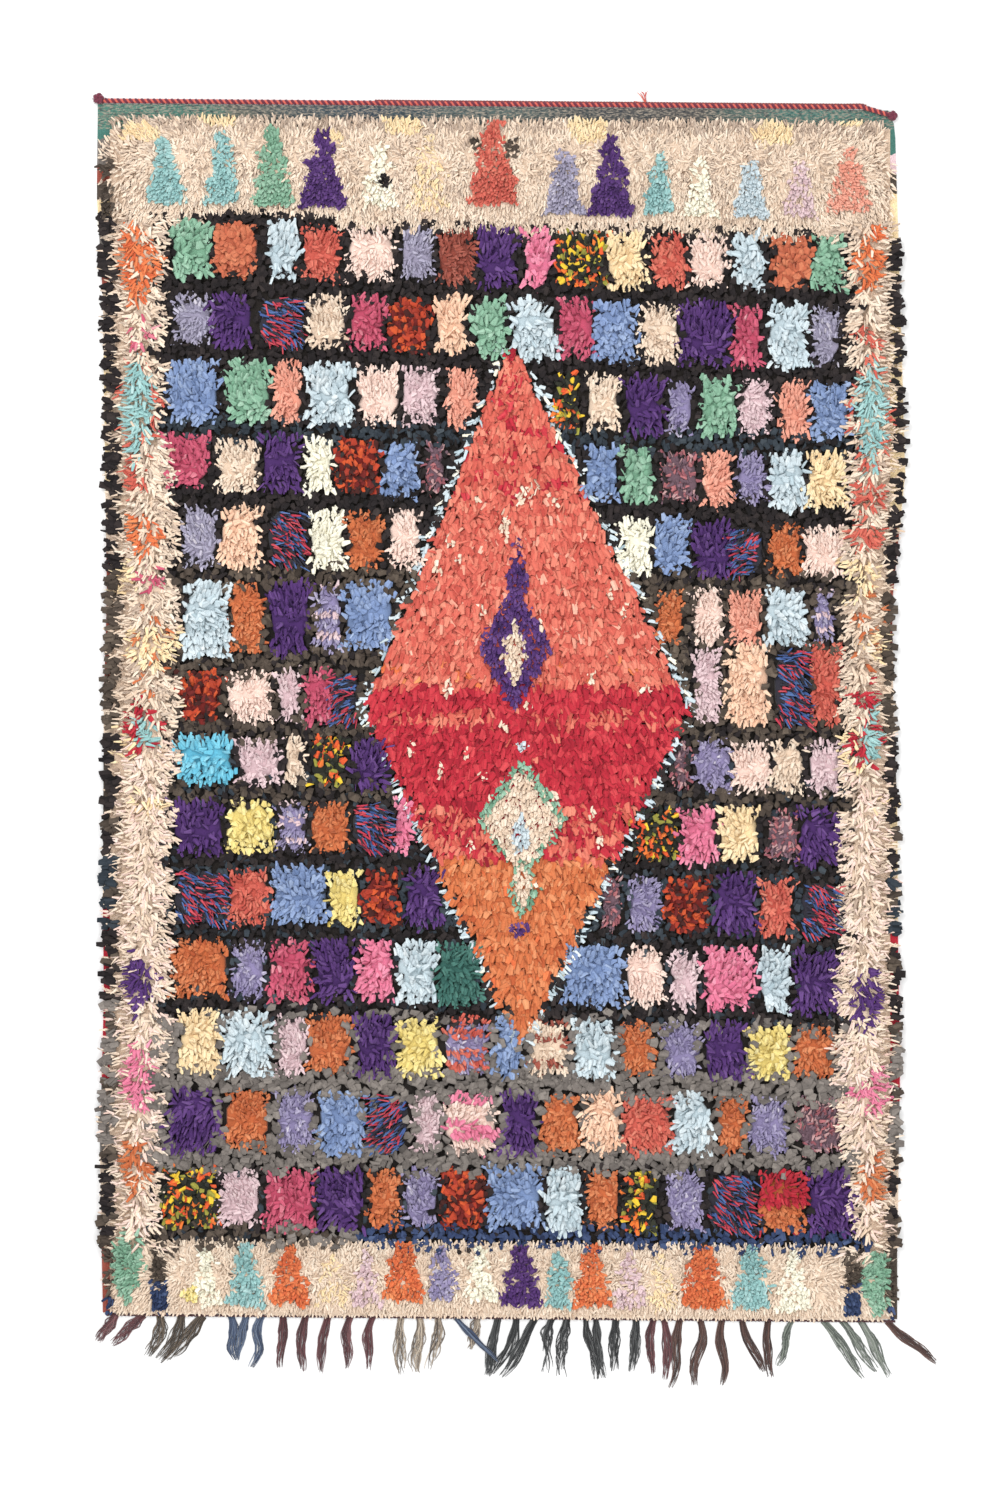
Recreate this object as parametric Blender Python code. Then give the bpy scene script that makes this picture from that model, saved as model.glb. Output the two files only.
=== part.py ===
"""Boucherouite rug lying flat: rag pile knotted into a woven ground.

Metres, +Z up. The origin is the middle of the ground's underside. +X runs across
the rug and +Y along it, towards the corded end. The bottom end carries a fringe.
"""

import math

import bpy
from mathutils import Vector, noise

MM = 0.001

# Ground cloth and pile
HALF_WIDTH = 800 * MM
TOP_END = 1197 * MM
BOTTOM_END = -1219 * MM
# Every weft row runs slightly downhill to the right.
ROW_SLOPE = -0.0086
CLOTH_THICKNESS = 3.5 * MM
RIM_HEIGHT = 9 * MM
PILE_HEIGHT = 22 * MM
BAND_DIP = 5 * MM
LUMP = 5 * MM
LUMP_SIZE = 120 * MM
SAME_PLACE = 0.001 * MM

# Insets of the grid lines nearest a long edge, where the pile rises from the rim.
RIM_INSETS = (0, 14 * MM, 34 * MM)
COLUMNS_BETWEEN = 32

# At the bottom end the pile stands straight up from the cloth's edge, to this share of its rise.
END_RISE = 0.3

# The pile starts this far below the corded end, over this much run.
BARE_END = 19 * MM
PILE_RISE = 13 * MM
# Bare cloth wraps down both long edges from the corded end as far as this.
BARE_CORNER = 100 * MM

# How far each long edge strays from HALF_WIDTH. Columns: y, outward stray.
LEFT_EDGE = (
    (1197, 4), (1012, 6), (812, -6), (512, -10), (212, -14), (12, -8),
    (-388, -6), (-588, -8), (-888, 0), (-1219, -6),
)
RIGHT_EDGE = (
    (1197, -24), (1180, -14), (1150, -10), (812, 0), (472, 10), (212, -16),
    (12, -14), (-188, -6), (-488, -4), (-708, 0), (-1088, -6), (-1219, -6),
)

# Middle of each dark band between the rows of blocks, from the corded end down.
BANDS = (980, 826, 682, 536, 418, 262, 92, -54, -174, -308, -452, -602, -758, -902, -1058)
LINES_PER_BLOCK = 2

# Locks of pile that hang over the selvedge
RIM_STEPS_PER_LINE = 3
LOCK_SHORTEST = 12 * MM
LOCK_LONGEST = 28 * MM
LOCK_TIP_WIDTH = 0.45
LOCK_TIP_HEIGHT = 2.2 * MM
LOCK_LENGTH_WAVES = (2.4, 0.7)

# Twined cord along the corded end
CORD_GAP = 0.7 * MM
CORD_LONG_RADIUS = 6.5 * MM
CORD_SHORT_RADIUS = 4.2 * MM
CORD_FLATTENING = 0.65
CORD_TWIST_PITCH = 12.5 * MM
RINGS_PER_TWIST = 3
CORD_LEFT_X = -806 * MM
CORD_TURN_X = 722 * MM
CORD_LIFT_RUN = 40 * MM
CORD_TAIL_X = 788 * MM
CORD_TAIL_Y = 1178 * MM
KNOT_RADIUS = 10 * MM
KNOT_LENGTH = 20 * MM
KNOT_END = 0.12
YARN_TAIL_X = 290 * MM
YARN_TAIL_LENGTH = 22 * MM
YARN_TAIL_NARROWING = 0.5

# Fringe strip and its locks
STRIP_GAP = 0.5 * MM
STRIP_WIDTH = 8 * MM
STRIP_HEIGHT = 4.5 * MM
STRIP_RIGHT_X = 794 * MM
STRIP_LEFT_X = -794 * MM
BELLY_HEIGHT = 5.5 * MM
TOP_NARROWING = 0.6

# Shape of one lock from its root down. Columns: share of its drop, of its width and of its height.
ROOT_WIDTH = 0.55
LOCK_SECTIONS = (
    (0.3, 1.0, 1.0), (0.6, 0.85, 0.9), (0.85, 0.55, 0.65), (1.0, 0.25, 0.36),
)

# Fringe locks in groups, evenly spread from a group's first lock to its last, in mm.
# Columns: count, first root x, last root x, first tip x, last tip x, drop, width, bow, lift.
# Lift is how high the far end lies on the locks below it.
FRINGE = (
    (2, -768, -712, -812, -780, 58, 16, 0, 0),
    (3, -680, -594, -708, -676, 88, 19, 6, 0),
    (3, -538, -476, -536, -498, 96, 15, 0, 0),
    (5, -434, -254, -430, -272, 112, 15, -5, 0),
    (3, -198, -124, -194, -142, 112, 15, 0, 0),
    (1, -90, -90, -12, -12, 98, 9, 0, 6.5),
    (1, -44, -44, -54, -54, 66, 13, 0, 0),
    (3, -4, 70, -28, -2, 110, 15, 6, 0),
    (2, 104, 134, 94, 112, 112, 15, 0, 0),
    (2, 172, 192, 188, 206, 114, 11, 0, 0),
    (2, 232, 272, 220, 270, 100, 15, 4, 0),
    (2, 308, 328, 302, 330, 118, 13, 0, 0),
    (2, 360, 400, 344, 382, 130, 15, 4, 0),
    (1, 444, 444, 452, 452, 128, 15, 0, 0),
    (2, 484, 536, 522, 542, 110, 14, -5, 0),
    (1, 584, 584, 552, 552, 100, 10, 0, 0),
    (3, 646, 722, 728, 774, 108, 14, 0, 0),
    (1, 774, 774, 864, 864, 78, 13, 0, 0),
)


def clear_scene():
    for obj in list(bpy.data.objects):
        bpy.data.objects.remove(obj, do_unlink=True)


def fabric(name, colour):
    """A rough cloth finish."""
    material = bpy.data.materials.new(name)
    material.use_nodes = True
    shader = material.node_tree.nodes["Principled BSDF"]
    shader.inputs["Base Color"].default_value = (*colour, 1)
    shader.inputs["Roughness"].default_value = 0.9
    shader.inputs["Metallic"].default_value = 0
    return material


def add_object(name, points, faces, colour):
    mesh = bpy.data.meshes.new(name)
    mesh.from_pydata([tuple(point) for point in points], [], faces)
    mesh.validate()
    mesh.update()
    mesh.materials.append(fabric(name, colour))
    obj = bpy.data.objects.new(name, mesh)
    bpy.context.scene.collection.objects.link(obj)


def read_table(table, y):
    """The second column at y, which runs down the table, in metres."""
    for (upper, upper_value), (lower, lower_value) in zip(table, table[1:]):
        if y >= lower * MM:
            share = min(1, (upper * MM - y) / ((upper - lower) * MM))
            return (upper_value + (lower_value - upper_value) * share) * MM
    return table[-1][1] * MM


def left_edge(y):
    return -HALF_WIDTH - read_table(LEFT_EDGE, y)


def right_edge(y):
    return HALF_WIDTH + read_table(RIGHT_EDGE, y)


def smooth(share):
    share = min(1, max(0, share))
    return share * share * (3 - 2 * share)


def row_lines():
    """The y of every grid line at the middle of the rug, with how much it dips as a dark band."""
    first, last = BANDS[0] * MM, BANDS[-1] * MM
    lines = [(TOP_END, 0), (TOP_END - BARE_END, 0), (TOP_END - BARE_END - PILE_RISE, 0)]
    lines += [(TOP_END - BARE_CORNER, 0), ((TOP_END - BARE_CORNER + first) / 2, 0)]
    for upper, lower in zip(BANDS, BANDS[1:]):
        lines.append((upper * MM, 1))
        step = (upper - lower) * MM / (LINES_PER_BLOCK + 1)
        lines += [(upper * MM - step * (count + 1), 0) for count in range(LINES_PER_BLOCK)]
    lines.append((last, 1))
    lines += [(last + (BOTTOM_END - last) * share, 0) for share in (0.4, 0.8)]
    lines += [(BOTTOM_END + inset, 0) for inset in reversed(RIM_INSETS[:2])]
    return lines


def column_insets(width):
    """Distance of each grid line from the left edge."""
    rim = list(RIM_INSETS)
    inner = width - 2 * rim[-1]
    between = [rim[-1] + inner * count / COLUMNS_BETWEEN for count in range(1, COLUMNS_BETWEEN)]
    return rim + between + [width - inset for inset in reversed(rim)]


def surface_height(x, y, side_inset, dip):
    """Height of the top face: bare cloth at the corded end, lumpy pile elsewhere."""
    depth = TOP_END - y
    if depth <= BARE_END + SAME_PLACE:
        return CLOTH_THICKNESS
    in_corner = depth <= BARE_CORNER + SAME_PLACE
    if in_corner and side_inset < RIM_INSETS[2] - SAME_PLACE:
        return CLOTH_THICKNESS
    coarse = noise.noise(Vector((x, y, 0)) / LUMP_SIZE)
    fine = noise.noise(Vector((y, x, 0)) * 3 / LUMP_SIZE)
    full = PILE_HEIGHT + LUMP * (coarse + fine / 2) - BAND_DIP * dip
    rise = smooth(side_inset / RIM_INSETS[2])
    end_rise = smooth((y - BOTTOM_END) / RIM_INSETS[1])
    return RIM_HEIGHT + (full - RIM_HEIGHT) * min(rise, END_RISE + (1 - END_RISE) * end_rise)


def grid_points():
    """Rows of points over the top face, from the corded end down, and left to right."""
    rows = []
    for y_middle, dip in row_lines():
        left, right = left_edge(y_middle), right_edge(y_middle)
        row = []
        for inset in column_insets(right - left):
            x = left + inset
            side_inset = min(inset, right - left - inset)
            z = surface_height(x, y_middle, side_inset, dip)
            row.append(Vector((x, y_middle + ROW_SLOPE * x, z)))
        rows.append(row)
    return rows


def rim_between(upper, lower):
    """Extra rim points between two neighbouring points of a long edge."""
    return [upper.lerp(lower, step / RIM_STEPS_PER_LINE) for step in range(1, RIM_STEPS_PER_LINE)]


def add_lock(points, faces, top_upper, top_lower, floor_upper, floor_lower, outward, length):
    """One lock: it leaves the rim wall, narrows and droops to the floor."""
    upper, lower = points[top_upper], points[top_lower]
    middle = (upper + lower) / 2
    tip = []
    for corner, height in ((lower, LOCK_TIP_HEIGHT), (upper, LOCK_TIP_HEIGHT), (upper, 0), (lower, 0)):
        narrowed = middle + (corner - middle) * LOCK_TIP_WIDTH
        tip.append(Vector((narrowed.x + outward * length, narrowed.y, height)))
    first = len(points)
    points.extend(tip)
    root = [top_lower, top_upper, floor_upper, floor_lower]
    tip = [first, first + 1, first + 2, first + 3]
    for side in range(4):
        after = (side + 1) % 4
        faces.append([root[side], root[after], tip[after], tip[side]])
    faces.append(tip)


def lock_length(number):
    """Uneven from lock to lock, with no repeat that shows."""
    first, second = LOCK_LENGTH_WAVES
    share = 0.5 + 0.5 * math.sin(number * first) * math.cos(number * second)
    return LOCK_SHORTEST + (LOCK_LONGEST - LOCK_SHORTEST) * share


def make_rug():
    """The lumpy slab of ground and pile, with locks standing out of both long edges."""
    rows = grid_points()
    columns = len(rows[0])
    points = [point for row in rows for point in row]
    faces = []

    def index(row, column):
        return row * columns + column

    # Extra points along each long edge, listed for each gap between two grid lines.
    extra = {}
    for column in (0, columns - 1):
        for row in range(len(rows) - 1):
            new = rim_between(points[index(row, column)], points[index(row + 1, column)])
            extra[row, column] = list(range(len(points), len(points) + len(new)))
            points.extend(new)

    for row in range(len(rows) - 1):
        for column in range(columns - 1):
            upper_left, upper_right = index(row, column), index(row, column + 1)
            lower_left, lower_right = index(row + 1, column), index(row + 1, column + 1)
            if column == 0:
                chain = [upper_left, *extra[row, 0], lower_left]
                faces += [[above, below, upper_right] for above, below in zip(chain, chain[1:])]
                faces.append([lower_left, lower_right, upper_right])
            elif column == columns - 2:
                chain = [upper_right, *extra[row, columns - 1], lower_right]
                faces += [[below, above, upper_left] for above, below in zip(chain, chain[1:])]
                faces.append([upper_left, lower_left, lower_right])
            else:
                faces.append([upper_left, lower_left, lower_right, upper_right])

    # The rim runs down the left edge, along the bottom, up the right edge and back.
    last_row, last_column = len(rows) - 1, columns - 1
    rim = []
    for row in range(last_row):
        rim += [index(row, 0), *extra[row, 0]]
    rim += [index(last_row, column) for column in range(last_column)]
    for row in range(last_row, 0, -1):
        rim += [index(row, last_column), *reversed(extra[row - 1, last_column])]
    rim += [index(0, column) for column in range(last_column, 0, -1)]

    floor = {}
    for point in rim:
        floor[point] = len(points)
        points.append(Vector((points[point].x, points[point].y, 0)))

    lowest_bare = TOP_END - BARE_CORNER
    for count, (here, after) in enumerate(zip(rim, rim[1:] + rim[:1])):
        x_here, x_after = points[here].x, points[after].x
        on_long_edge = abs(x_here - x_after) < abs(points[here].y - points[after].y)
        in_pile = max(points[here].y, points[after].y) < lowest_bare
        if on_long_edge and in_pile and count % 2:
            outward = 1 if x_here > 0 else -1
            add_lock(points, faces, here, after, floor[here], floor[after], outward, lock_length(count))
        else:
            faces.append([after, here, floor[here], floor[after]])
    faces.append([floor[point] for point in reversed(rim)])
    add_object("rug", points, faces, (0.45, 0.36, 0.32))


def cord_line(x):
    return TOP_END + CORD_GAP + CORD_LONG_RADIUS + ROW_SLOPE * x


def cord_centre(distance):
    """Point at this distance along the cord, whose far end turns onto the cloth's corner."""
    straight = CORD_TURN_X - CORD_LEFT_X
    height = CORD_LONG_RADIUS * CORD_FLATTENING
    lift = (CLOTH_THICKNESS + CORD_GAP) * smooth((distance - straight + CORD_LIFT_RUN) / CORD_LIFT_RUN)
    if distance <= straight:
        x = CORD_LEFT_X + distance
        return Vector((x, cord_line(x), height + lift))
    turn = Vector((CORD_TURN_X, cord_line(CORD_TURN_X), 0))
    tail = Vector((CORD_TAIL_X, CORD_TAIL_Y, 0))
    point = turn + (tail - turn).normalized() * (distance - straight)
    return Vector((point.x, point.y, height + lift))


def cord_length():
    turn = Vector((CORD_TURN_X, cord_line(CORD_TURN_X)))
    tail = Vector((CORD_TAIL_X, CORD_TAIL_Y))
    return CORD_TURN_X - CORD_LEFT_X + (tail - turn).length


def knot_swelling(distance, length):
    """How much thicker than the plain cord it is, near either end knot."""
    from_end = min(distance, length - distance)
    if from_end >= KNOT_LENGTH:
        return 1
    rounded = math.sqrt(max(KNOT_END, 1 - (2 * from_end / KNOT_LENGTH - 1) ** 2))
    return rounded * KNOT_RADIUS / CORD_LONG_RADIUS


def cord_ring(distance, length):
    """Four points of a flattened two-strand section, turned with the twist."""
    centre = cord_centre(distance)
    ahead = cord_centre(min(length, distance + MM)) - cord_centre(max(0, distance - MM))
    across = Vector((-ahead.y, ahead.x, 0)).normalized()
    swelling = knot_swelling(distance, length)
    flattening = CORD_FLATTENING
    centre.z += (swelling - 1) * CORD_LONG_RADIUS * flattening if swelling > 1 else 0
    ring = []
    for corner in range(4):
        angle = math.pi * distance / CORD_TWIST_PITCH + corner * math.pi / 2
        radius = (CORD_LONG_RADIUS, CORD_SHORT_RADIUS)[corner % 2] * swelling
        point = centre + across * (radius * math.cos(angle))
        point.z += radius * math.sin(angle) * flattening
        ring.append(point)
    return ring


def make_edge_cord():
    """Two-strand cord along the corded end, a knot at each end and one loose yarn tail."""
    length = cord_length()
    steps = round(length / CORD_TWIST_PITCH) * RINGS_PER_TWIST
    points = []
    faces = []
    for step in range(steps + 1):
        points.extend(cord_ring(length * step / steps, length))
    tail_step = round((YARN_TAIL_X - CORD_LEFT_X) / length * steps)
    for step in range(steps):
        sides = []
        for corner in range(4):
            after = (corner + 1) % 4
            base = step * 4
            sides.append([base + corner, base + after, base + 4 + after, base + 4 + corner])
        if step == tail_step:
            outermost = max(sides, key=lambda side: sum(points[point].y for point in side))
            sides.remove(outermost)
            middle = sum((points[point] for point in outermost), Vector()) / 4
            first = len(points)
            for point in outermost:
                narrowed = middle + (points[point] - middle) * YARN_TAIL_NARROWING
                points.append(narrowed + Vector((0, YARN_TAIL_LENGTH, 0)))
            tip = [first, first + 1, first + 2, first + 3]
            for corner in range(4):
                after = (corner + 1) % 4
                sides.append([outermost[corner], outermost[after], tip[after], tip[corner]])
            sides.append(tip)
        faces.extend(sides)
    faces.append([3, 2, 1, 0])
    last = steps * 4
    faces.append([last, last + 1, last + 2, last + 3])
    add_object("edge_cord", points, faces, (0.36, 0.1, 0.14))


def fringe_locks():
    """Root x, tip x, drop, width, bow and lift of every lock, in metres, from left to right."""
    locks = []
    for count, root_first, root_last, tip_first, tip_last, drop, width, bow, lift in FRINGE:
        for number in range(count):
            share = number / max(1, count - 1)
            root = root_first + (root_last - root_first) * share
            tip = tip_first + (tip_last - tip_first) * share
            locks.append([value * MM for value in (root, tip, drop, width, bow, lift)])
    return locks


def lock_ring(lock, foot_y, share, width_share, height_share):
    """Section of a fringe lock: a flat foot on the floor under a narrower top."""
    root, tip, drop, width, bow, lift = lock
    x = root + (tip - root) * share + bow * math.sin(math.pi * share)
    y = foot_y - drop * share
    slope = (tip - root) / drop + bow * math.pi / drop * math.cos(math.pi * share)
    across = Vector((1, slope, 0)).normalized()
    half = width * width_share / 2
    base = lift * smooth(share / LOCK_SECTIONS[0][0])
    height = BELLY_HEIGHT * height_share
    centre = Vector((x, y, base))
    rise = Vector((0, 0, height))
    return [
        centre - across * half,
        centre + across * half,
        centre + across * half * TOP_NARROWING + rise,
        centre - across * half * TOP_NARROWING + rise,
    ]


def make_fringe():
    """A narrow twined strip with the warp locks fused into its lower side."""
    locks = fringe_locks()
    top = BOTTOM_END - STRIP_GAP
    foot = top - STRIP_WIDTH
    marks = [STRIP_LEFT_X]
    for root, _, _, width, _, _ in locks:
        marks += [root - width * ROOT_WIDTH / 2, root + width * ROOT_WIDTH / 2]
    marks.append(STRIP_RIGHT_X)

    points = []
    for x in marks:
        slide = ROW_SLOPE * x
        points += [
            Vector((x, foot + slide, 0)),
            Vector((x, foot + slide, STRIP_HEIGHT)),
            Vector((x, top + slide, STRIP_HEIGHT)),
            Vector((x, top + slide, 0)),
        ]
    faces = [[0, 1, 2, 3]]
    for mark in range(len(marks) - 1):
        here, after = mark * 4, mark * 4 + 4
        for corner in range(1, 4):
            next_corner = (corner + 1) % 4
            faces.append([here + corner, after + corner, after + next_corner, here + next_corner])
        if mark % 2 == 0:
            faces.append([here, after, after + 1, here + 1])
            continue
        lock = locks[mark // 2]
        foot_y = foot + ROW_SLOPE * lock[0]
        ring = [here, after, after + 1, here + 1]
        for share, width_share, height_share in LOCK_SECTIONS:
            first = len(points)
            points.extend(lock_ring(lock, foot_y, share, width_share, height_share))
            new = [first, first + 1, first + 2, first + 3]
            for corner in range(4):
                next_corner = (corner + 1) % 4
                faces.append([ring[corner], ring[next_corner], new[next_corner], new[corner]])
            ring = new
        faces.append(ring)
    last = (len(marks) - 1) * 4
    faces.append([last + 3, last + 2, last + 1, last])
    add_object("fringe", points, faces, (0.16, 0.1, 0.09))


def main():
    clear_scene()
    make_rug()
    make_edge_cord()
    make_fringe()


main()
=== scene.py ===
"""Boucherouite rug laid flat and seen from straight above.

Metres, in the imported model's frame: +X across the rug, +Y towards the corded end,
+Z up, with the origin under the middle of the ground cloth. The pile is built
tuft by tuft: every rag or yarn is a small closed strip that leaves the ground
and falls over, and each dye is one piece, or two of even size.
"""

import math
from collections import defaultdict, namedtuple

import bpy
import numpy as np
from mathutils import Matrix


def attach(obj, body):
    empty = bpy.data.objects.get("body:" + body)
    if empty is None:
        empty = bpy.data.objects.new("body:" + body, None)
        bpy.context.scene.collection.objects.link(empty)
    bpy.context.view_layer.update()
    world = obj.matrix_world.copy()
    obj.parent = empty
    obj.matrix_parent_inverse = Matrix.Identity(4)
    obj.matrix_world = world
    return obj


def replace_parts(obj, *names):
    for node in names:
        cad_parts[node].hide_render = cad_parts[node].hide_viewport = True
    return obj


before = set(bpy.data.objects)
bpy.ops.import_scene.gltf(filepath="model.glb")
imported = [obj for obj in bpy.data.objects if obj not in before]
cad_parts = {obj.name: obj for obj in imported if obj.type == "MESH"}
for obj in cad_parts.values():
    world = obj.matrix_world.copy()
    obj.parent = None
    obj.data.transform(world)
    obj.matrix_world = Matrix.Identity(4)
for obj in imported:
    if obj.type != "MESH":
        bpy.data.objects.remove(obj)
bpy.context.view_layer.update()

MM = 0.001
SEED = 7

# Ground cloth
HALF_WIDTH = 800 * MM
TOP_END = 1197 * MM
BOTTOM_END = -1219 * MM
ROW_SLOPE = -0.0086
CLOTH_THICKNESS = 3.5 * MM
KNOT_LEVEL = 3 * MM

# How far each long edge strays from HALF_WIDTH, in mm. Columns: y, outward stray.
LEFT_EDGE = (
    (1197, 4), (1012, 6), (812, -6), (512, -10), (212, -14), (12, -8),
    (-388, -6), (-588, -8), (-888, 0), (-1219, -6),
)
RIGHT_EDGE = (
    (1197, -24), (1180, -14), (1150, -10), (812, 0), (472, 10), (212, -16),
    (12, -14), (-188, -6), (-488, -4), (-708, 0), (-1088, -6), (-1219, -6),
)

# The field of blocks inside the cream border
FIELD_LEFT = -676 * MM
FIELD_RIGHT = 704 * MM
FIELD_TOP = 978 * MM
FIELD_BOTTOM = -1088 * MM

# The border's inner edge on each side, in mm, from the top down. Columns: y, x.
FIELD_LEFT_EDGE = (
    (978, -680), (600, -682), (400, -656), (0, -652), (-200, -662), (-560, -668),
    (-700, -676), (-800, -688), (-1088, -694),
)
FIELD_RIGHT_EDGE = (
    (978, 704), (430, 706), (300, 694), (-150, 690), (-400, 684), (-560, 680),
    (-760, 678), (-900, 698), (-1088, 718),
)

# Where dark ground stands above the first row, in mm. Columns: middle x, half width, rise.
NOTCHES = (
    (-460, 132, 26), (-150, 14, 12), (-40, 16, 10), (334, 27, 15), (470, 32, 12), (614, 15, 14),
)

# Where each row of blocks begins and ends, in mm, from the top down. Columns: left x, right x.
ROW_ENDS = (
    (-664, 692), (-656, 684), (-670, 700), (-672, 690), (-640, 690), (-638, 668), (-647, 686),
    (-652, 682), (-660, 678), (-660, 676), (-656, 670), (-648, 674), (-666, 694), (-682, 716),
)

# The big lozenge: its corners, and the band of pale tufts around it
LOZENGE_TOP = (24 * MM, 726 * MM)
LOZENGE_LEFT = (-262 * MM, 2 * MM)
LOZENGE_RIGHT = (372 * MM, 2 * MM)
LOZENGE_BOTTOM = (42 * MM, -664 * MM)
OUTLINE_WIDTH = 9 * MM
LOZENGE_CLEARANCE = 22 * MM

# The dark bands between the rows of blocks, from the top down, in mm.
# Columns: middle at the field's left edge, middle at its right edge, dye.
BANDS = (
    (984, 950, "black"), (841, 813, "black"), (709, 657, "black"), (557, 516, "soot"),
    (419, 377, "black"), (266, 243, "umber"), (82, 127, "umber"), (-47, -56, "umber"),
    (-168, -193, "umber"), (-302, -331, "black"), (-446, -476, "black"), (-595, -628, "black"),
    (-749, -764, "ash"), (-905, -914, "ash"), (-1054, -1067, "navy"),
)
BAND_HALF = 14 * MM

# Chart of the blocks, a line for each row from the top down. Columns: dark dye between
# its blocks, dyes left of the lozenge, dyes right of it. A number after a dye is its
# width against the others.
BLOCKS = (
    ("black", "leaf rust:1.2 sky:0.9 coral blush:1.25 slate:0.85 brick:0.9 plum:1.1",
     "pink:0.85 confetti:1.15 butter coral:0.95 blush sky:0.85 rust leaf:0.8"),
    ("black", "slate:0.95 plum ticking:1.15 ecru crimson:0.95 ember:1.1 peach:0.85 leaf:0.9",
     "sky:1.1 crimson:0.85 blue:1.1 ecru:0.9 plum:1.25 crimson:0.75 sky:1.1 slate:0.75"),
    ("black", "blue:1.3 leaf:1.1 salmon:0.75 sky:1.1 blush:1.1 mauve:0.85 salmon:0.85",
     "confetti:0.75 ecru:0.95 plum lilac:0.75 leaf:0.95 mauve:0.9 salmon:0.8 blue"),
    ("black", "crimson:1.2 ecru:1.15 plum ivory:0.8 ember:1.1 blue mulberry:0.7",
     "blue:0.9 leaf:0.9 mulberry:1.1 salmon:0.85 lilac:0.9 sky:0.95 butter"),
    ("black", "slate:0.95 peach:1.15 ticking ivory orange blush:0.85",
     "ivory:0.85 blue plum ticking:0.9 orange:0.9 blush:1.1"),
    ("umber", "sky:1.15 orange:0.9 plum:1.15 lilac_stripe:0.7 blue:1.25",
     "orange:0.9 blush:1.05 salmon sky:1.15 lilac_stripe:0.7"),
    ("umber", "ember:1.25 blush:1.35 mauve:0.7 crimson:0.8 ticking:0.7",
     "mauve:0.8 peach:1.2 ticking:0.85 coral:0.85"),
    ("black", "turquoise:1.5 mauve:1.1 ecru:0.65 confetti plum:0.85",
     "mulberry:0.6 lilac:0.95 blush ecru:0.9 mauve:0.85"),
    ("black", "plum:1.3 yellow:1.2 lilac_stripe:0.75 orange:0.95 ticking pink:0.6",
     "confetti:1.15 pink:0.95 butter:1.1 mulberry:0.95 plum"),
    ("soot", "ticking:1.35 coral blue:1.25 yellow:0.85 ember:0.95 plum",
     "mulberry:0.6 lilac:0.9 ember:1.2 plum:1.1 coral ticking"),
    ("black", "orange:1.3 lilac:0.85 crimson:1.1 plum pink:0.85 sky teal",
     "blue:1.4 blush:0.95 mauve:0.8 pink:1.2 sky:0.85 plum"),
    ("ash", "butter sky:1.15 mauve:0.8 orange plum:0.95 yellow rose_stripe:1.1 blue:0.8",
     "ecru_stripe sky orange:0.95 lilac:0.95 plum yellow orange"),
    ("ash", "plum:1.3 orange:1.15 lilac blue:1.2 ticking mauve:0.75 blush_stripe:1.3",
     "plum orange:0.9 peach coral:1.15 sky:0.9 orange:0.85 lilac mulberry:1.3"),
    ("black", "confetti:1.4 mauve crimson:1.25 plum:1.1 orange:0.9 lilac:0.85 ember:1.15 blue:1.25",
     "sky:0.95 orange:0.9 confetti:0.9 lilac ticking:1.15 flame_stripe:1.15 plum:1.25"),
)
# Blocks striped across. Columns: ground dye, stripe dye, stripes in the block, share of each.
STRIPES = {
    "rose_stripe": ("lilac", "coral", 4, 0.5), "ecru_stripe": ("ecru", "brick", 3, 0.26),
    "lilac_stripe": ("lilac", "mauve", 3, 0.3), "blush_stripe": ("blush", "pink", 2, 0.4),
    "flame_stripe": ("orange", "scarlet", 1, 0.5),
}
FIRST_LOZENGE_ROW = 2
LAST_LOZENGE_ROW = 10

# Rows, counted from 0 at the top, whose right half has no dark band below it
JOINED_BELOW_RIGHT = (5,)

# Trees in the two end borders, in mm. Columns: middle x, tip y, foot y, half width, dye.
TOP_TREES = (
    (-664, 1136, 1012, 38, "aqua"), (-554, 1140, 1012, 35, "aqua"),
    (-454, 1148, 1006, 40, "leaf"), (-354, 1142, 1004, 46, "plum"),
    (-240, 1116, 1004, 36, "ivory"), (-142, 1134, 1000, 42, "butter"),
    (-14, 1158, 1010, 52, "coral"), (128, 1104, 990, 42, "slate"),
    (222, 1130, 986, 46, "plum"), (318, 1100, 990, 32, "aqua"),
    (400, 1084, 984, 34, "ivory"), (500, 1092, 984, 38, "sky"),
    (598, 1088, 984, 34, "mauve"), (692, 1110, 994, 46, "salmon"),
)
BOTTOM_TREES = (
    (-588, -1092, -1188, 32, "ivory"), (-508, -1078, -1190, 38, "aqua"),
    (-418, -1084, -1186, 40, "flame"), (-338, -1100, -1190, 34, "butter"),
    (-266, -1096, -1190, 32, "mauve"), (-192, -1068, -1178, 42, "flame"),
    (-116, -1086, -1178, 28, "lilac"), (-38, -1088, -1180, 34, "ivory"),
    (42, -1086, -1190, 43, "plum"), (117, -1096, -1192, 29, "aqua"),
    (184, -1080, -1190, 38, "flame"), (258, -1100, -1195, 34, "mauve"),
    (322, -1100, -1195, 30, "butter"), (406, -1080, -1192, 48, "flame"),
    (502, -1090, -1192, 42, "aqua"), (586, -1098, -1200, 36, "ivory"),
)

# Diamonds in the end borders, in mm. Columns: middle x, middle y, half width, half height, dye.
END_SPOTS = ((-232, 1054, 17, 17, "black"), (-618, -1168, 20, 16, "yellow"))

# Dark spots on both sides of the coral tree, in mm
TREE_SPOTS_X = (-48, 24)
TREE_SPOTS_Y = 1115

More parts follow.
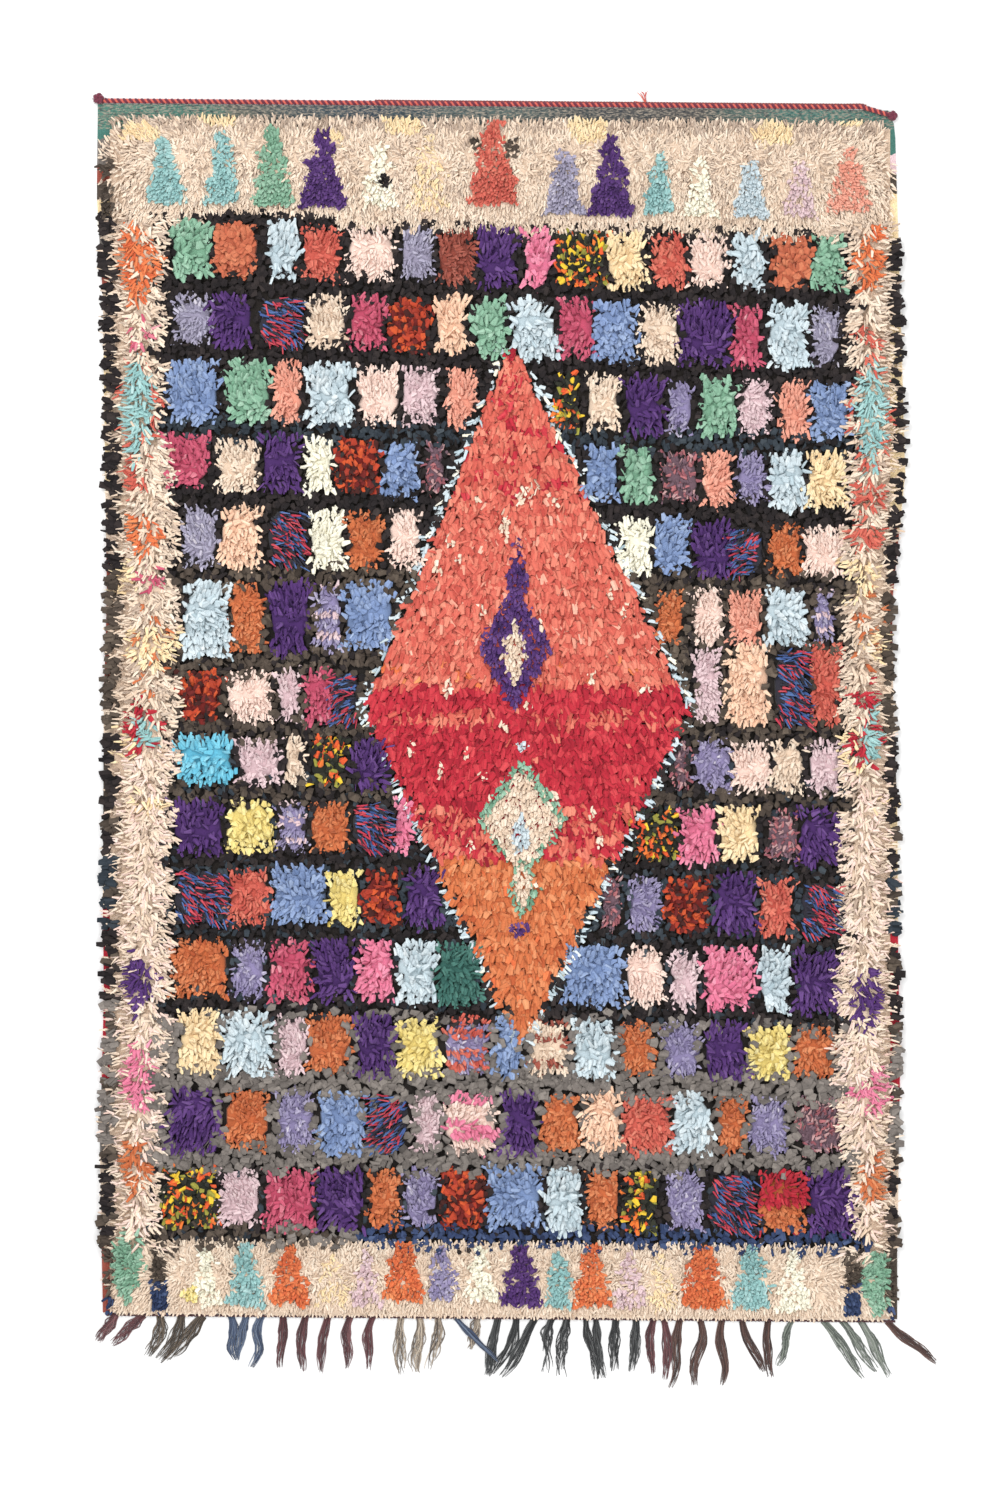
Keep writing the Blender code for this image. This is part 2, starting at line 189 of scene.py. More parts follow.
# Motifs in the side borders and corners, in mm.
# Columns: middle x, middle y, half width, half height, share of knots, dye.
SIDE_MOTIFS = (
    (-722, 888, 42, 88, 0.8, "flame"), (-720, 748, 28, 30, 0.6, "crimson"),
    (-724, 602, 48, 128, 0.5, "coral"), (-724, 602, 31, 118, 0.92, "aqua"),
    (-730, 456, 28, 44, 0.7, "coral"), (-712, 352, 36, 50, 0.65, "flame"),
    (-694, 256, 22, 24, 0.7, "crimson"), (-700, 124, 44, 112, 0.26, "orange"),
    (-716, -40, 40, 60, 0.55, "scarlet"), (-704, -50, 24, 56, 0.6, "aqua"),
    (-722, -550, 30, 64, 0.9, "plum"), (-722, -738, 34, 78, 0.75, "pink"),
    (-730, -916, 30, 58, 0.75, "orange"), (-742, -1116, 42, 74, 0.95, "leaf"),
    (740, 892, 34, 74, 0.75, "flame"), (736, 742, 26, 38, 0.5, "coral"),
    (741, 588, 46, 138, 0.5, "coral"), (741, 588, 28, 126, 0.92, "aqua"),
    (736, 424, 32, 42, 0.7, "coral"), (730, 342, 36, 36, 0.85, "coral"),
    (732, 172, 42, 104, 0.31, "orange"), (732, 28, 30, 28, 0.7, "scarlet"),
    (738, -64, 38, 72, 0.6, "scarlet"), (738, -60, 22, 66, 0.7, "aqua"),
    (732, -580, 30, 70, 0.92, "plum"), (744, -766, 38, 56, 0.7, "pink"),
    (746, -940, 28, 60, 0.7, "orange"), (752, -1150, 48, 68, 0.95, "leaf"),
)

# Marks inside the lozenge, in mm, each laid over the one before.
# Columns: middle x, middle y, half width, half height, dye.
LOZENGE_MARKS = (
    (34, 258, 22, 88, "plum"), (30, 128, 74, 130, "plum"), (29, 112, 24, 74, "ecru"),
    (10, 372, 9, 34, "ecru"), (44, -70, 14, 14, "sky"),
    (44, -214, 92, 122, "leaf"), (44, -222, 78, 108, "ecru"),
    (46, -356, 32, 60, "leaf"), (46, -350, 22, 48, "ecru"),
    (42, -246, 18, 46, "sky"), (37, -437, 20, 18, "plum"),
)

# The lozenge's ground from the top down, in mm. Columns: lowest y, dye, second dye, its share.
LOZENGE_GROUND = (
    (420, "coral", "scarlet", 0.25), (110, "coral", "salmon", 0.2), (48, "coral", "flame", 0.2),
    (2, "scarlet", "scarlet", 0), (-30, "scarlet", "coral", 0.35), (-190, "scarlet", "coral", 0.12),
    (-296, "scarlet", "coral", 0.5), (-700, "orange", "flame", 0.15),
)

# Weft colours that show along each selvedge, in mm, from the top down. Columns: lowest y, dye.
LEFT_SELVEDGE = (
    (1130, "teal"), (1080, "ash"), (1040, "brick"), (1000, "umber"), (950, "butter"),
    (900, "ash"), (820, "brick"), (700, "ecru"), (420, "butter"), (330, "ecru"),
    (10, "brick"), (-60, "ecru"), (-330, "umber"), (-400, "ecru"), (-760, "scarlet"),
    (-900, "ash"), (-1060, "ecru"), (-1300, "brick"),
)
RIGHT_SELVEDGE = (
    (1096, "teal"), (1060, "mauve"), (1020, "umber"), (850, "butter"), (780, "ash"),
    (350, "butter"), (110, "brick"), (-60, "ecru"), (-200, "umber"), (-440, "butter"),
    (-800, "scarlet"), (-900, "ash"), (-1060, "ecru"), (-1300, "umber"),
)

# The bare end's weft, from left to right. Columns: share of the width, sRGB bytes.
END_WEFTS = (
    (0.0, (70, 118, 104)), (0.12, (72, 116, 104)), (0.17, (92, 96, 88)), (0.27, (64, 78, 84)),
    (0.34, (52, 66, 78)), (0.5, (84, 100, 96)), (0.62, (58, 62, 66)), (0.74, (78, 76, 74)),
    (0.85, (74, 112, 104)), (1.0, (70, 116, 106)),
)
BARE_END = 33 * MM

# Twined cord along the corded end
CORD_LIFT = 4.2 * MM
CORD_LEFT_X = -806 * MM
CORD_TURN_X = 722 * MM
CORD_LIFT_RUN = 40 * MM
CORD_TAIL = (788 * MM, 1178 * MM)
CORD_OFFSET = 6.6 * MM
CORD_PITCH = 12 * MM
CORD_FLATTENING = 0.62
SECOND_CORD_START = -250 * MM
YARN_TAIL_X = 290 * MM

# Fringe locks in groups, evenly spread from a group's first lock to its last, in mm.
# Columns: count, first root x, last root x, first tip x, last tip x, drop, width, bow,
# lift, looseness, dye.
FRINGE = (
    (2, -768, -712, -812, -780, 58, 16, 0, 0, 0.5, "fringe_maroon"),
    (3, -680, -594, -708, -676, 88, 19, 6, 0, 0.6, "fringe_olive"),
    (3, -538, -476, -536, -498, 96, 15, 0, 0, 0.4, "fringe_slate"),
    (5, -434, -254, -430, -272, 112, 15, -5, 0, 0.3, "fringe_maroon"),
    (3, -198, -124, -194, -142, 112, 15, 0, 0, 1.0, "fringe_beige"),
    (1, -90, -90, -12, -12, 98, 9, 0, 6.5, 0.1, "fringe_slate"),
    (1, -44, -44, -54, -54, 66, 13, 0, 0, 0.9, "fringe_beige"),
    (3, -4, 70, -28, -2, 110, 15, 6, 0, 0.5, "fringe_black"),
    (2, 104, 134, 94, 112, 112, 15, 0, 0, 1.0, "fringe_black"),
    (2, 172, 192, 188, 206, 114, 11, 0, 0, 0.7, "fringe_black"),
    (2, 232, 272, 220, 270, 100, 15, 4, 0, 0.5, "fringe_black"),
    (2, 308, 328, 302, 330, 118, 13, 0, 0, 0.4, "fringe_maroon"),
    (2, 360, 400, 344, 382, 130, 15, 4, 0, 0.4, "fringe_brown"),
    (1, 444, 444, 452, 452, 128, 15, 0, 0, 0.2, "fringe_brown"),
    (2, 484, 536, 522, 542, 110, 14, -5, 0, 0.3, "fringe_brown"),
    (1, 584, 584, 552, 552, 100, 10, 0, 0, 0.6, "fringe_green"),
    (3, 646, 722, 728, 774, 108, 14, 0, 0, 0.5, "fringe_green"),
    (1, 774, 774, 864, 864, 78, 13, 0, 0, 0.3, "fringe_brown"),
)
STRIP_MIDDLE = 4.5 * MM
LOCK_YARNS = 17

# Shades of every dye, dark to light, as sRGB bytes. A mixed rag has shades side by side.
DYES = {
    "black": ((20, 18, 19), (38, 33, 34), (62, 54, 52)),
    "soot": ((28, 34, 40), (48, 56, 64), (72, 80, 86)),
    "umber": ((46, 39, 34), (78, 68, 60), (108, 96, 84)),
    "ash": ((78, 73, 70), (116, 109, 104), (146, 138, 131)),
    "navy": ((28, 36, 62), (50, 64, 98), (84, 100, 136)),
    "ecru": ((206, 178, 152), (234, 211, 188), (248, 233, 213)),
    "ivory": ((232, 228, 204), (246, 241, 220), (252, 249, 234)),
    "taupe": ((150, 128, 112), (190, 168, 150), (214, 196, 178)),
    "butter": ((230, 194, 144), (244, 218, 172), (250, 232, 194)),
    "peach": ((226, 174, 142), (242, 202, 172), (250, 220, 194)),
    "blush": ((228, 192, 178), (242, 214, 200), (250, 230, 218)),
    "mauve": ((196, 162, 168), (220, 192, 196), (234, 212, 212)),
    "salmon": ((214, 134, 112), (232, 160, 138), (242, 184, 162)),
    "coral": ((180, 71, 61), (206, 99, 84), (226, 139, 116)),
    "rust": ((164, 80, 58), (192, 104, 74), (212, 134, 98)),
    "brick": ((124, 54, 44), (154, 78, 64), (180, 106, 90)),
    "scarlet": ((138, 22, 38), (180, 38, 54), (206, 70, 76)),
    "crimson": ((156, 54, 80), (188, 76, 102), (200, 92, 116), (226, 160, 168)),
    "pink": ((204, 98, 132), (226, 126, 154), (240, 162, 184)),
    "plum": ((54, 32, 78), (84, 52, 112), (114, 82, 140)),
    "lilac": ((112, 102, 142), (140, 130, 168), (158, 150, 182), (206, 200, 214)),
    "slate": ((118, 114, 136), (154, 148, 170), (172, 168, 190), (214, 208, 218)),
    "blue": ((97, 118, 158), (130, 151, 191), (161, 179, 209)),
    "sky": ((164, 184, 192), (198, 212, 218), (222, 230, 232)),
    "turquoise": ((74, 158, 188), (108, 190, 214), (146, 210, 226)),
    "aqua": ((124, 168, 168), (150, 194, 192), (184, 214, 212)),
    "leaf": ((98, 143, 116), (134, 177, 150), (168, 201, 178)),
    "teal": ((44, 84, 78), (66, 112, 103), (96, 142, 130)),
    "yellow": ((208, 182, 92), (234, 214, 136), (246, 236, 180)),
    "orange": ((174, 82, 46), (201, 111, 67), (223, 149, 104)),
    "flame": ((196, 84, 50), (220, 114, 68), (234, 150, 98)),
    "ember": ((164, 56, 38), (108, 30, 26), (202, 84, 44), (68, 28, 24), (180, 66, 40)),
    "ticking": (
        (190, 56, 76), (50, 48, 58), (208, 78, 90), (66, 92, 150), (46, 46, 60), (84, 114, 168),
    ),
    "confetti": (
        (42, 44, 34), (232, 120, 52), (38, 40, 32), (234, 196, 56),
        (50, 52, 40), (226, 92, 48), (34, 36, 30), (150, 146, 62),
    ),
    "mulberry": ((148, 86, 94), (108, 84, 94), (182, 112, 116), (128, 98, 110), (190, 150, 150)),
    "fringe_maroon": ((52, 26, 30), (84, 46, 50), (122, 82, 84)),
    "fringe_olive": ((34, 28, 22), (62, 52, 42), (112, 98, 84)),
    "fringe_slate": ((30, 38, 58), (56, 70, 96), (104, 118, 140)),
    "fringe_beige": ((58, 50, 46), (134, 120, 106), (196, 182, 164)),
    "fringe_black": ((16, 17, 19), (36, 38, 40), (84, 86, 86)),
    "fringe_brown": ((40, 24, 21), (70, 46, 40), (104, 76, 68)),
    "fringe_green": ((60, 66, 62), (104, 112, 104), (150, 156, 146)),
    "cord_coral": ((164, 60, 60), (200, 92, 80), (222, 134, 110)),
    "cord_maroon": ((66, 22, 40), (100, 34, 54), (132, 60, 80)),
    "cord_brown": ((84, 30, 30), (122, 48, 44), (150, 78, 66)),
}
MIXED = {"ember", "ticking", "confetti", "mulberry"}
PALE = {"ecru", "ivory", "butter", "peach", "blush", "mauve"}
DARK = {"black", "soot", "umber", "navy", "ash", "plum", "teal"}

# The most tufts in one piece, at 10 triangles a tuft
MOST_TUFTS = 15000


def linear(colour):
    """sRGB bytes as a linear colour with full alpha."""
    scaled = [value / 255 for value in colour]
    return (*[c / 12.92 if c <= 0.04045 else ((c + 0.055) / 1.055) ** 2.4 for c in scaled], 1)


def smooth(share):
    share = np.clip(share, 0, 1)
    return share * share * (3 - 2 * share)


def along_table(table, y):
    """The second column, in metres, of a table in mm whose first column is y, from the top down."""
    rows = np.array(table[::-1]) * MM
    return np.interp(y, rows[:, 0], rows[:, 1])


def left_edge(y):
    return -HALF_WIDTH - along_table(LEFT_EDGE, y)


def right_edge(y):
    return HALF_WIDTH + along_table(RIGHT_EDGE, y)


def field_inset(x, y):
    """How far x lies inside the field's long edges, less than 0 in the side borders."""
    return np.minimum(x - along_table(FIELD_LEFT_EDGE, y), along_table(FIELD_RIGHT_EDGE, y) - x)


def band_heights(x):
    """The y of every dark band's middle line at each x, a row of numbers for each band."""
    ends = np.array([(left, right) for left, right, _ in BANDS]) * MM
    share = np.clip((x - FIELD_LEFT) / (FIELD_RIGHT - FIELD_LEFT), -0.1, 1.1)
    return ends[:, :1] + (ends[:, 1:] - ends[:, :1]) * share


def ripple(x, y, size, phase):
    """A smooth wavy number from -1 to 1 over the cloth."""
    a = np.sin(x / size * 2.1 + y / size * 1.3 + phase)
    b = np.sin(x / size * 0.9 - y / size * 2.6 + phase * 2.3)
    return (a + b) / 2


def swirl(x, y, size, phase):
    """A smooth field of directions, so that neighbouring tufts lie alike and part into locks."""
    return ripple(x, y, size, phase), ripple(y, x, size, phase + 1.7)


def unit(angle):
    return np.stack([np.cos(angle), np.sin(angle)], -1)


def unit_length(vectors):
    return vectors / np.maximum(np.linalg.norm(vectors, axis=-1, keepdims=True), 1e-9)


def sideways(ahead):
    """Level vectors to the left of each direction."""
    return np.stack([-ahead[..., 1], ahead[..., 0], np.zeros(ahead.shape[:-1])], -1)


def add_object(name, data):
    obj = bpy.data.objects.new(name, data)
    bpy.context.scene.collection.objects.link(obj)
    return obj


# Materials

class Nodes:
    """Short names for building a node tree."""

    def __init__(self, name):
        self.material = bpy.data.materials.new(name)
        self.material.use_nodes = True
        self.tree = self.material.node_tree
        self.shader = self.tree.nodes["Principled BSDF"]

    def fill(self, node, values):
        """Set or link sockets of a node, each by its name or number."""
        for key, value in values.items():
            if isinstance(value, (int, float, tuple)):
                node.inputs[key].default_value = value
            else:
                self.tree.links.new(value, node.inputs[key])

    def add(self, kind, values, **settings):
        node = self.tree.nodes.new(kind)
        for key, value in settings.items():
            setattr(node, key, value)
        self.fill(node, values)
        return node

    def attribute(self, name):
        return self.add("ShaderNodeAttribute", {}, attribute_name=name).outputs["Fac"]

    def place(self):
        return self.add("ShaderNodeTexCoord", {}).outputs["Object"]

    def ramp(self, source, stops, constant=False):
        node = self.add("ShaderNodeValToRGB", {"Fac": source})
        ramp = node.color_ramp
        ramp.interpolation = "CONSTANT" if constant else "LINEAR"
        while len(ramp.elements) < len(stops):
            ramp.elements.new(0.5)
        for element, (place, colour) in zip(ramp.elements, sorted(stops, key=lambda stop: stop[0])):
            element.position = place
            element.color = colour
        return node.outputs["Color"]

    def noise(self, scale, detail=2.0, stretch=None):
        """Noise over the object's own coordinates, with its scale in metres."""
        place = self.place()
        if stretch:
            place = self.add("ShaderNodeMapping", {"Scale": stretch, "Vector": place}).outputs["Vector"]
        values = {"Scale": 1 / scale, "Detail": detail, "Vector": place}
        return self.add("ShaderNodeTexNoise", values).outputs["Fac"]

    def remap(self, source, low, high, to_low, to_high):
        values = {"Value": source, "From Min": low, "From Max": high, "To Min": to_low, "To Max": to_high}
        return self.add("ShaderNodeMapRange", values).outputs["Result"]

    def math(self, operation, first, second=0.0):
        return self.add("ShaderNodeMath", {0: first, 1: second}, operation=operation).outputs["Value"]

    def mix(self, factor, first, second, blend="MIX"):
        values = {0: factor, 6: first, 7: second}
        return self.add("ShaderNodeMix", values, data_type="RGBA", blend_type=blend).outputs[2]

    def times(self, colour, share):
        """A colour multiplied by one number."""
        grey = self.add("ShaderNodeCombineColor", {0: share, 1: share, 2: share})
        return self.mix(1.0, colour, grey.outputs["Color"], "MULTIPLY")

    def bump(self, height, distance):
        node = self.add("ShaderNodeBump", {"Height": height, "Distance": distance, "Strength": 1.0})
        self.fill(self.shader, {"Normal": node.outputs["Normal"]})

    def finish(self, colour, roughness, sheen):
        self.fill(self.shader, {
            "Base Color": colour, "Roughness": roughness, "Specular IOR Level": 0.15,
            "Sheen Weight": sheen, "Sheen Roughness": 0.6,
        })
        return self.material


def dye_colour(nodes, dye):
    """Each tuft's shade from its own tone, then a marl within the rag."""
    shades = DYES[dye]
    steps = len(shades) if dye in MIXED else len(shades) - 1
    stops = [(place / steps, linear(shade)) for place, shade in enumerate(shades)]
    colour = nodes.ramp(nodes.attribute("tone"), stops, constant=dye in MIXED)
    return nodes.times(colour, nodes.remap(nodes.noise(2.2 * MM, 3), 0.3, 0.7, 0.82, 1.06))


def rag_material(dye):
    """Rag with painted shade: darker down in the pile, darker in fold lines along each strip and at its
    edges, with bumped folds and a fine knit.
    """
    nodes = Nodes(f"rag_{dye}")
    across = nodes.attribute("across")
    start = nodes.math("MULTIPLY", nodes.attribute("tone"), 40.0)
    # Fold lines along each strip: the same wave is painted into the colour as fold shade (0.9 to 1.04) and
    # also drives the bump.
    fold_relief_and_shade = nodes.math("SINE", nodes.math("ADD", nodes.math("MULTIPLY", across, 4.5), start))
    rim = nodes.math("ABSOLUTE", across)
    # Painted shade: each rag's colour darkens towards its knot, down in the pile, less for pale dyes.
    depth = nodes.remap(nodes.attribute("along"), 0, 0.7, 0.94 if dye in PALE else 0.82, 1.0)
    depth = nodes.math("MULTIPLY", depth, nodes.remap(fold_relief_and_shade, -1, 1, 0.9, 1.04))
    # Painted shade: each strip's colour darkens to 0.78 at both long edges, a crease shade between
    # neighbouring strips.
    depth = nodes.math("MULTIPLY", depth, nodes.remap(rim, 0.6, 1.0, 1.0, 0.78))
    nodes.bump(nodes.math("ADD", nodes.noise(1.3 * MM), nodes.math("MULTIPLY", fold_relief_and_shade, 0.5)), 0.5 * MM)
    sheen = 0.04 if dye in DARK else 0.22 if dye in PALE else 0.1
    return nodes.finish(nodes.times(dye_colour(nodes, dye), depth), 0.92, sheen)


def yarn_material(dye):
    """Spun wool: fine fibres along the yarn and a soft sheen."""
    nodes = Nodes(f"yarn_{dye}")
    nodes.bump(nodes.noise(0.9 * MM, 3), 0.4 * MM)
    return nodes.finish(dye_colour(nodes, dye), 0.85, 0.2)


def selvedge_ramp(nodes, height, table):
    """Weft colours up one long edge as hard steps, height running 0 to 1 from the bottom."""
    span = TOP_END - BOTTOM_END
    stops = [(max(0.0, (lowest * MM - BOTTOM_END) / span), linear(DYES[dye][1])) for lowest, dye in table]
    return nodes.ramp(height, stops, constant=True)


def end_colour(nodes, x):
    """The bare end: teal that runs grey and navy, with pale and dark flecks of weft."""
    wander = nodes.remap(nodes.noise(60 * MM), 0, 1, -0.05, 0.05)
    along = nodes.math("ADD", nodes.remap(x, -HALF_WIDTH, HALF_WIDTH, 0, 1), wander)
    end = nodes.ramp(along, [(place, linear(colour)) for place, colour in END_WEFTS])
    for scale, stretch, low, high, most, colour in (
        (2.6 * MM, 0.35, 0.45, 0.6, 0.8, (158, 148, 134)),
        (3.3 * MM, 0.3, 0.5, 0.66, 0.75, (38, 50, 58)),
    ):
        flecks = nodes.noise(scale, 3, stretch=(stretch, 1.0, 1.0))
        end = nodes.mix(nodes.remap(flecks, low, high, 0, most), end, linear(colour))
    return end


def ground_material():
    """Flatwoven wool: banded selvedges, the bare end, near-black cloth under the field as painted shade
    between the knots, and a plain weave.
    """
    nodes = Nodes("flatweave")
    place = nodes.place()
    split = nodes.add("ShaderNodeSeparateXYZ", {"Vector": place})
    x, y = split.outputs["X"], split.outputs["Y"]
    wander = nodes.remap(nodes.noise(30 * MM), 0, 1, -0.006, 0.006)
    height = nodes.math("ADD", nodes.remap(y, BOTTOM_END, TOP_END, 0, 1), wander)
    left, right = (selvedge_ramp(nodes, height, table) for table in (LEFT_SELVEDGE, RIGHT_SELVEDGE))
    sides = nodes.mix(nodes.math("GREATER_THAN", x, 0.0), left, right)
    inner = nodes.math("LESS_THAN", nodes.math("ABSOLUTE", x), HALF_WIDTH - 20 * MM)
    sides = nodes.mix(inner, sides, linear((214, 188, 164)))
    is_end = nodes.math("GREATER_THAN", y, TOP_END - 44 * MM)
    colour = nodes.mix(is_end, sides, end_colour(nodes, x))
    # Painted shade: under the field the cloth is near black, so the gaps between knots read as shadow.
    beside = nodes.math("GREATER_THAN", nodes.attribute("inset"), -6 * MM)
    below = nodes.math("LESS_THAN", y, FIELD_TOP + 6 * MM)
    above = nodes.math("GREATER_THAN", y, FIELD_BOTTOM - 4 * MM)
    inside = nodes.math("MULTIPLY", nodes.math("MULTIPLY", beside, below), above)
    colour = nodes.mix(inside, colour, linear((34, 29, 26)))
    speckle = nodes.remap(nodes.noise(1.6 * MM), 0.25, 0.75, 0.7, 1.3)
    relief = []
    for direction, pitch in (("Y", 2.2 * MM), ("X", 4.5 * MM)):
        values = {"Scale": 1 / pitch / math.tau * 2, "Distortion": 0.6, "Vector": place}
        node = nodes.add("ShaderNodeTexWave", values, wave_type="BANDS", bands_direction=direction)
        relief.append(node.outputs["Fac"])
    nodes.bump(nodes.math("ADD", relief[0], nodes.math("MULTIPLY", relief[1], 0.6)), 0.6 * MM)
    return nodes.finish(nodes.times(colour, speckle), 0.9, 0.1)


def floor_material():
    nodes = Nodes("pale_floor")
    stops = [(0.0, (0.78, 0.78, 0.78, 1)), (1.0, (0.82, 0.82, 0.82, 1))]
    colour = nodes.ramp(nodes.noise(0.5), stops)
    nodes.fill(nodes.shader, {"Base Color": colour, "Roughness": 0.8, "Specular IOR Level": 0.1})
    return nodes.material


# Mesh building

Shape = namedtuple("Shape", "faces places along across smooth")


def tuft_shape():
    """A strip from a point to a blunt tip: point 0, then two rings of right, left and ridge."""
    faces, places = [], []
    for side in range(3):
        after = (side + 1) % 3
        left, middle, right = side / 3, (side + 0.5) / 3, (side + 1) / 3
        faces += [(0, 1 + after, 1 + side), (1 + side, 1 + after, 4 + after, 4 + side)]
        places += [(middle, 0), (right, 0.3), (left, 0.3)]
        places += [(left, 0.3), (right, 0.3), (right, 0.9), (left, 0.9)]
    faces.append((4, 5, 6))
    places += [(0.1, 0.93), (0.9, 0.93), (0.5, 0.99)]
    along, across = (0, 0.5, 0.5, 0.5, 1, 1, 1), (0, -1, 1, 0, -1, 1, 0)
    return Shape(faces, np.array(places), np.array(along), np.array(across), False)


def tube_shape(rings, sides, along=(0.5, 1)):
    """A closed tube of rings, each of so many sides."""
    faces, places = [], []
    for ring in range(rings - 1):
        for side in range(sides):
            after = (side + 1) % sides
            low, high = ring * sides, (ring + 1) * sides
            faces.append((low + side, low + after, high + after, high + side))
            u, v = side / sides, ring / (rings - 1) * 0.88
            wide, tall = 1 / sides, 0.88 / (rings - 1)
            places += [(u, v), (u + wide, v), (u + wide, v + tall), (u, v + tall)]
    turn = np.arange(sides) / sides * math.tau
    for cap, middle in ((range(sides)[::-1], 0.25), (range((rings - 1) * sides, rings * sides), 0.75)):
        faces.append(tuple(cap))
        places += list(zip(middle + 0.2 * np.cos(turn), 0.95 + 0.04 * np.sin(turn)))
    share = np.repeat(np.linspace(*along, rings), sides)
    return Shape(faces, np.array(places), share, np.tile(np.cos(turn), rings), True)


def copies_object(name, groups, material):
    """One mesh of many copies. Each group is (shape, points by copy, tone by copy)."""
    cells = max(1, math.ceil(math.sqrt(sum(len(tone) for _, _, tone in groups))))
    found = defaultdict(list)
    first = cell = 0
    for shape, points, tone in groups:
        count, each = points.shape[:2]
        number = np.arange(count)
        origin = np.stack([(cell + number) % cells, (cell + number) // cells], -1) / cells
        group = {
            "points": points.reshape(-1, 3),
            "corners": (first + number[:, None] * each + np.concatenate(shape.faces)).ravel(),
            "sizes": np.tile([len(face) for face in shape.faces], count),
            "smooth": np.full(count * len(shape.faces), shape.smooth),
            "places": (origin[:, None] + shape.places * 0.94 / cells).reshape(-1, 2),
            "tone": np.repeat(tone, each),
            "along": np.tile(shape.along, count),
            "across": np.tile(shape.across, count),
        }
        for key, value in group.items():
            found[key].append(value)
        first += count * each
        cell += count
    made = {key: np.concatenate(value) for key, value in found.items()}

    mesh = bpy.data.meshes.new(name)
    mesh.vertices.add(len(made["points"]))
    mesh.loops.add(len(made["corners"]))
    mesh.polygons.add(len(made["sizes"]))
    mesh.vertices.foreach_set("co", made["points"].astype(np.float32).ravel())
    starts = np.concatenate([[0], np.cumsum(made["sizes"])[:-1]])
    mesh.polygons.foreach_set("loop_start", starts.astype(np.int32))
    mesh.polygons.foreach_set("vertices", made["corners"].astype(np.int32))
    mesh.polygons.foreach_set("use_smooth", made["smooth"])
    mesh.update(calc_edges=True)
    layer = mesh.uv_layers.new(name="OFBake")
    layer.data.foreach_set("uv", made["places"].astype(np.float32).ravel())
    for key in ("tone", "along", "across"):
        attribute = mesh.attributes.new(key, "FLOAT", "POINT")
        attribute.data.foreach_set("value", made[key].astype(np.float32))
    mesh.materials.append(material)
    return add_object(name, mesh)


def settle(obj):
    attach(obj, "root")
    return obj


# Tufts

TUFT = tuft_shape()
# Beds are painted darker than the tufts over them. Their along of 0.3 to 0.6 takes the rag's painted pile
# shade, and BED_TONE picks a darker shade of a plain dye as painted shade. In a mixed rag it picks the dark
# part of the mix.
BED = tube_shape(2, 8, along=(0.3, 0.6))
BED_TONE = 0.3
ROOT_ANGLE = math.radians(30)
FALL_ANGLE = math.radians(70)
RAG_THICKNESS = 0.3
LOWEST_TIP = 0.6 * MM
HIGHEST_TIP = 31 * MM


def tuft_points(roots, heading, length, width, lay, blunt, rng):
    """Points of each tuft: it rises from its knot, then falls over and turns as it goes."""
    count = len(roots)
    knot = np.column_stack([roots, np.full(count, KNOT_LEVEL)])
    bend = rng.normal(0, 0.3, count)
    roll = rng.normal(0, 0.42, count)
    blunt = blunt * rng.uniform(0.6, 1.2, count)
    points = [knot]
    point = knot
    for rise, share, turn, half in ((ROOT_ANGLE, 0.42, 0, 1.0), (FALL_ANGLE, 0.58, bend, blunt)):
        angle = lay * rise
        ahead = unit(heading + turn)
        tangent = np.column_stack([ahead * np.sin(angle)[:, None], np.cos(angle)])
        level = sideways(ahead)
        upward = np.cross(tangent, level)
        across = level * np.cos(roll)[:, None] + upward * np.sin(roll)[:, None]
        ridge = np.cross(tangent, across)
        point = point + tangent * (length * share)[:, None]
        reach = (width * half / 2)[:, None]
        points += [point - across * reach, point + across * reach, point + ridge * reach * RAG_THICKNESS]
    found = np.stack(points, 1)
    found[..., 2] = np.clip(found[..., 2], LOWEST_TIP, HIGHEST_TIP)
    return found


def bed_points(middle_x, middle_y, half_x, half_y, top, rng):
    """A low rounded slab of knots under one patch of tufts."""
    circle = unit(np.arange(8) / 8 * math.tau + math.tau / 16)
    square = circle / np.max(np.abs(circle), 1)[:, None]
    outline = square * (half_x, half_y) * rng.uniform(0.9, 1.04, (8, 1))
    outline[:, 1] += ROW_SLOPE * (outline[:, 0] + middle_x)
    return np.concatenate([
        np.column_stack([outline * size + (middle_x, middle_y), np.full(8, height)])
        for size, height in ((1, 2 * MM), (0.9, top))
    ])


def knots(left, right, bottom, top, pitch_x, pitch_y, rng, stray=0.3):
    """Knots in staggered weft rows, a little uneven."""
    rows = np.arange(bottom, top, pitch_y)
    columns = np.arange(left, right, pitch_x)
    x, y = np.meshgrid(columns, rows)
    x = x + (np.arange(len(rows)) % 2)[:, None] * pitch_x / 2
    x = x + rng.uniform(-0.35, 0.35, x.shape) * pitch_x
    y = y + rng.uniform(-stray, stray, y.shape) * pitch_y
    return x.ravel(), (y + ROW_SLOPE * x).ravel()


def row_height(x, y):
    """The y that a knot's weft row has at the middle of the rug."""
    return y - ROW_SLOPE * x


def in_cloth(x, y, inset):
    return (x > left_edge(y) + inset) & (x < right_edge(y) - inset)


def lozenge_reach(x, y):
    """How far x lies outside the lozenge, less than 0 inside, and the lozenge's left and right x."""
    (top_x, top_y), (left_x, side_y) = LOZENGE_TOP, LOZENGE_LEFT
    right_x, (bottom_x, bottom_y) = LOZENGE_RIGHT[0], LOZENGE_BOTTOM
    heights = (bottom_y, side_y, top_y)
    left = np.interp(y, heights, (bottom_x, left_x, top_x))
    right = np.interp(y, heights, (bottom_x, right_x, top_x))
    beyond_ends = np.where((y > top_y) | (y < bottom_y), 1.0, 0.0)
    return np.abs(x - (left + right) / 2) - (right - left) / 2 + beyond_ends, left, right


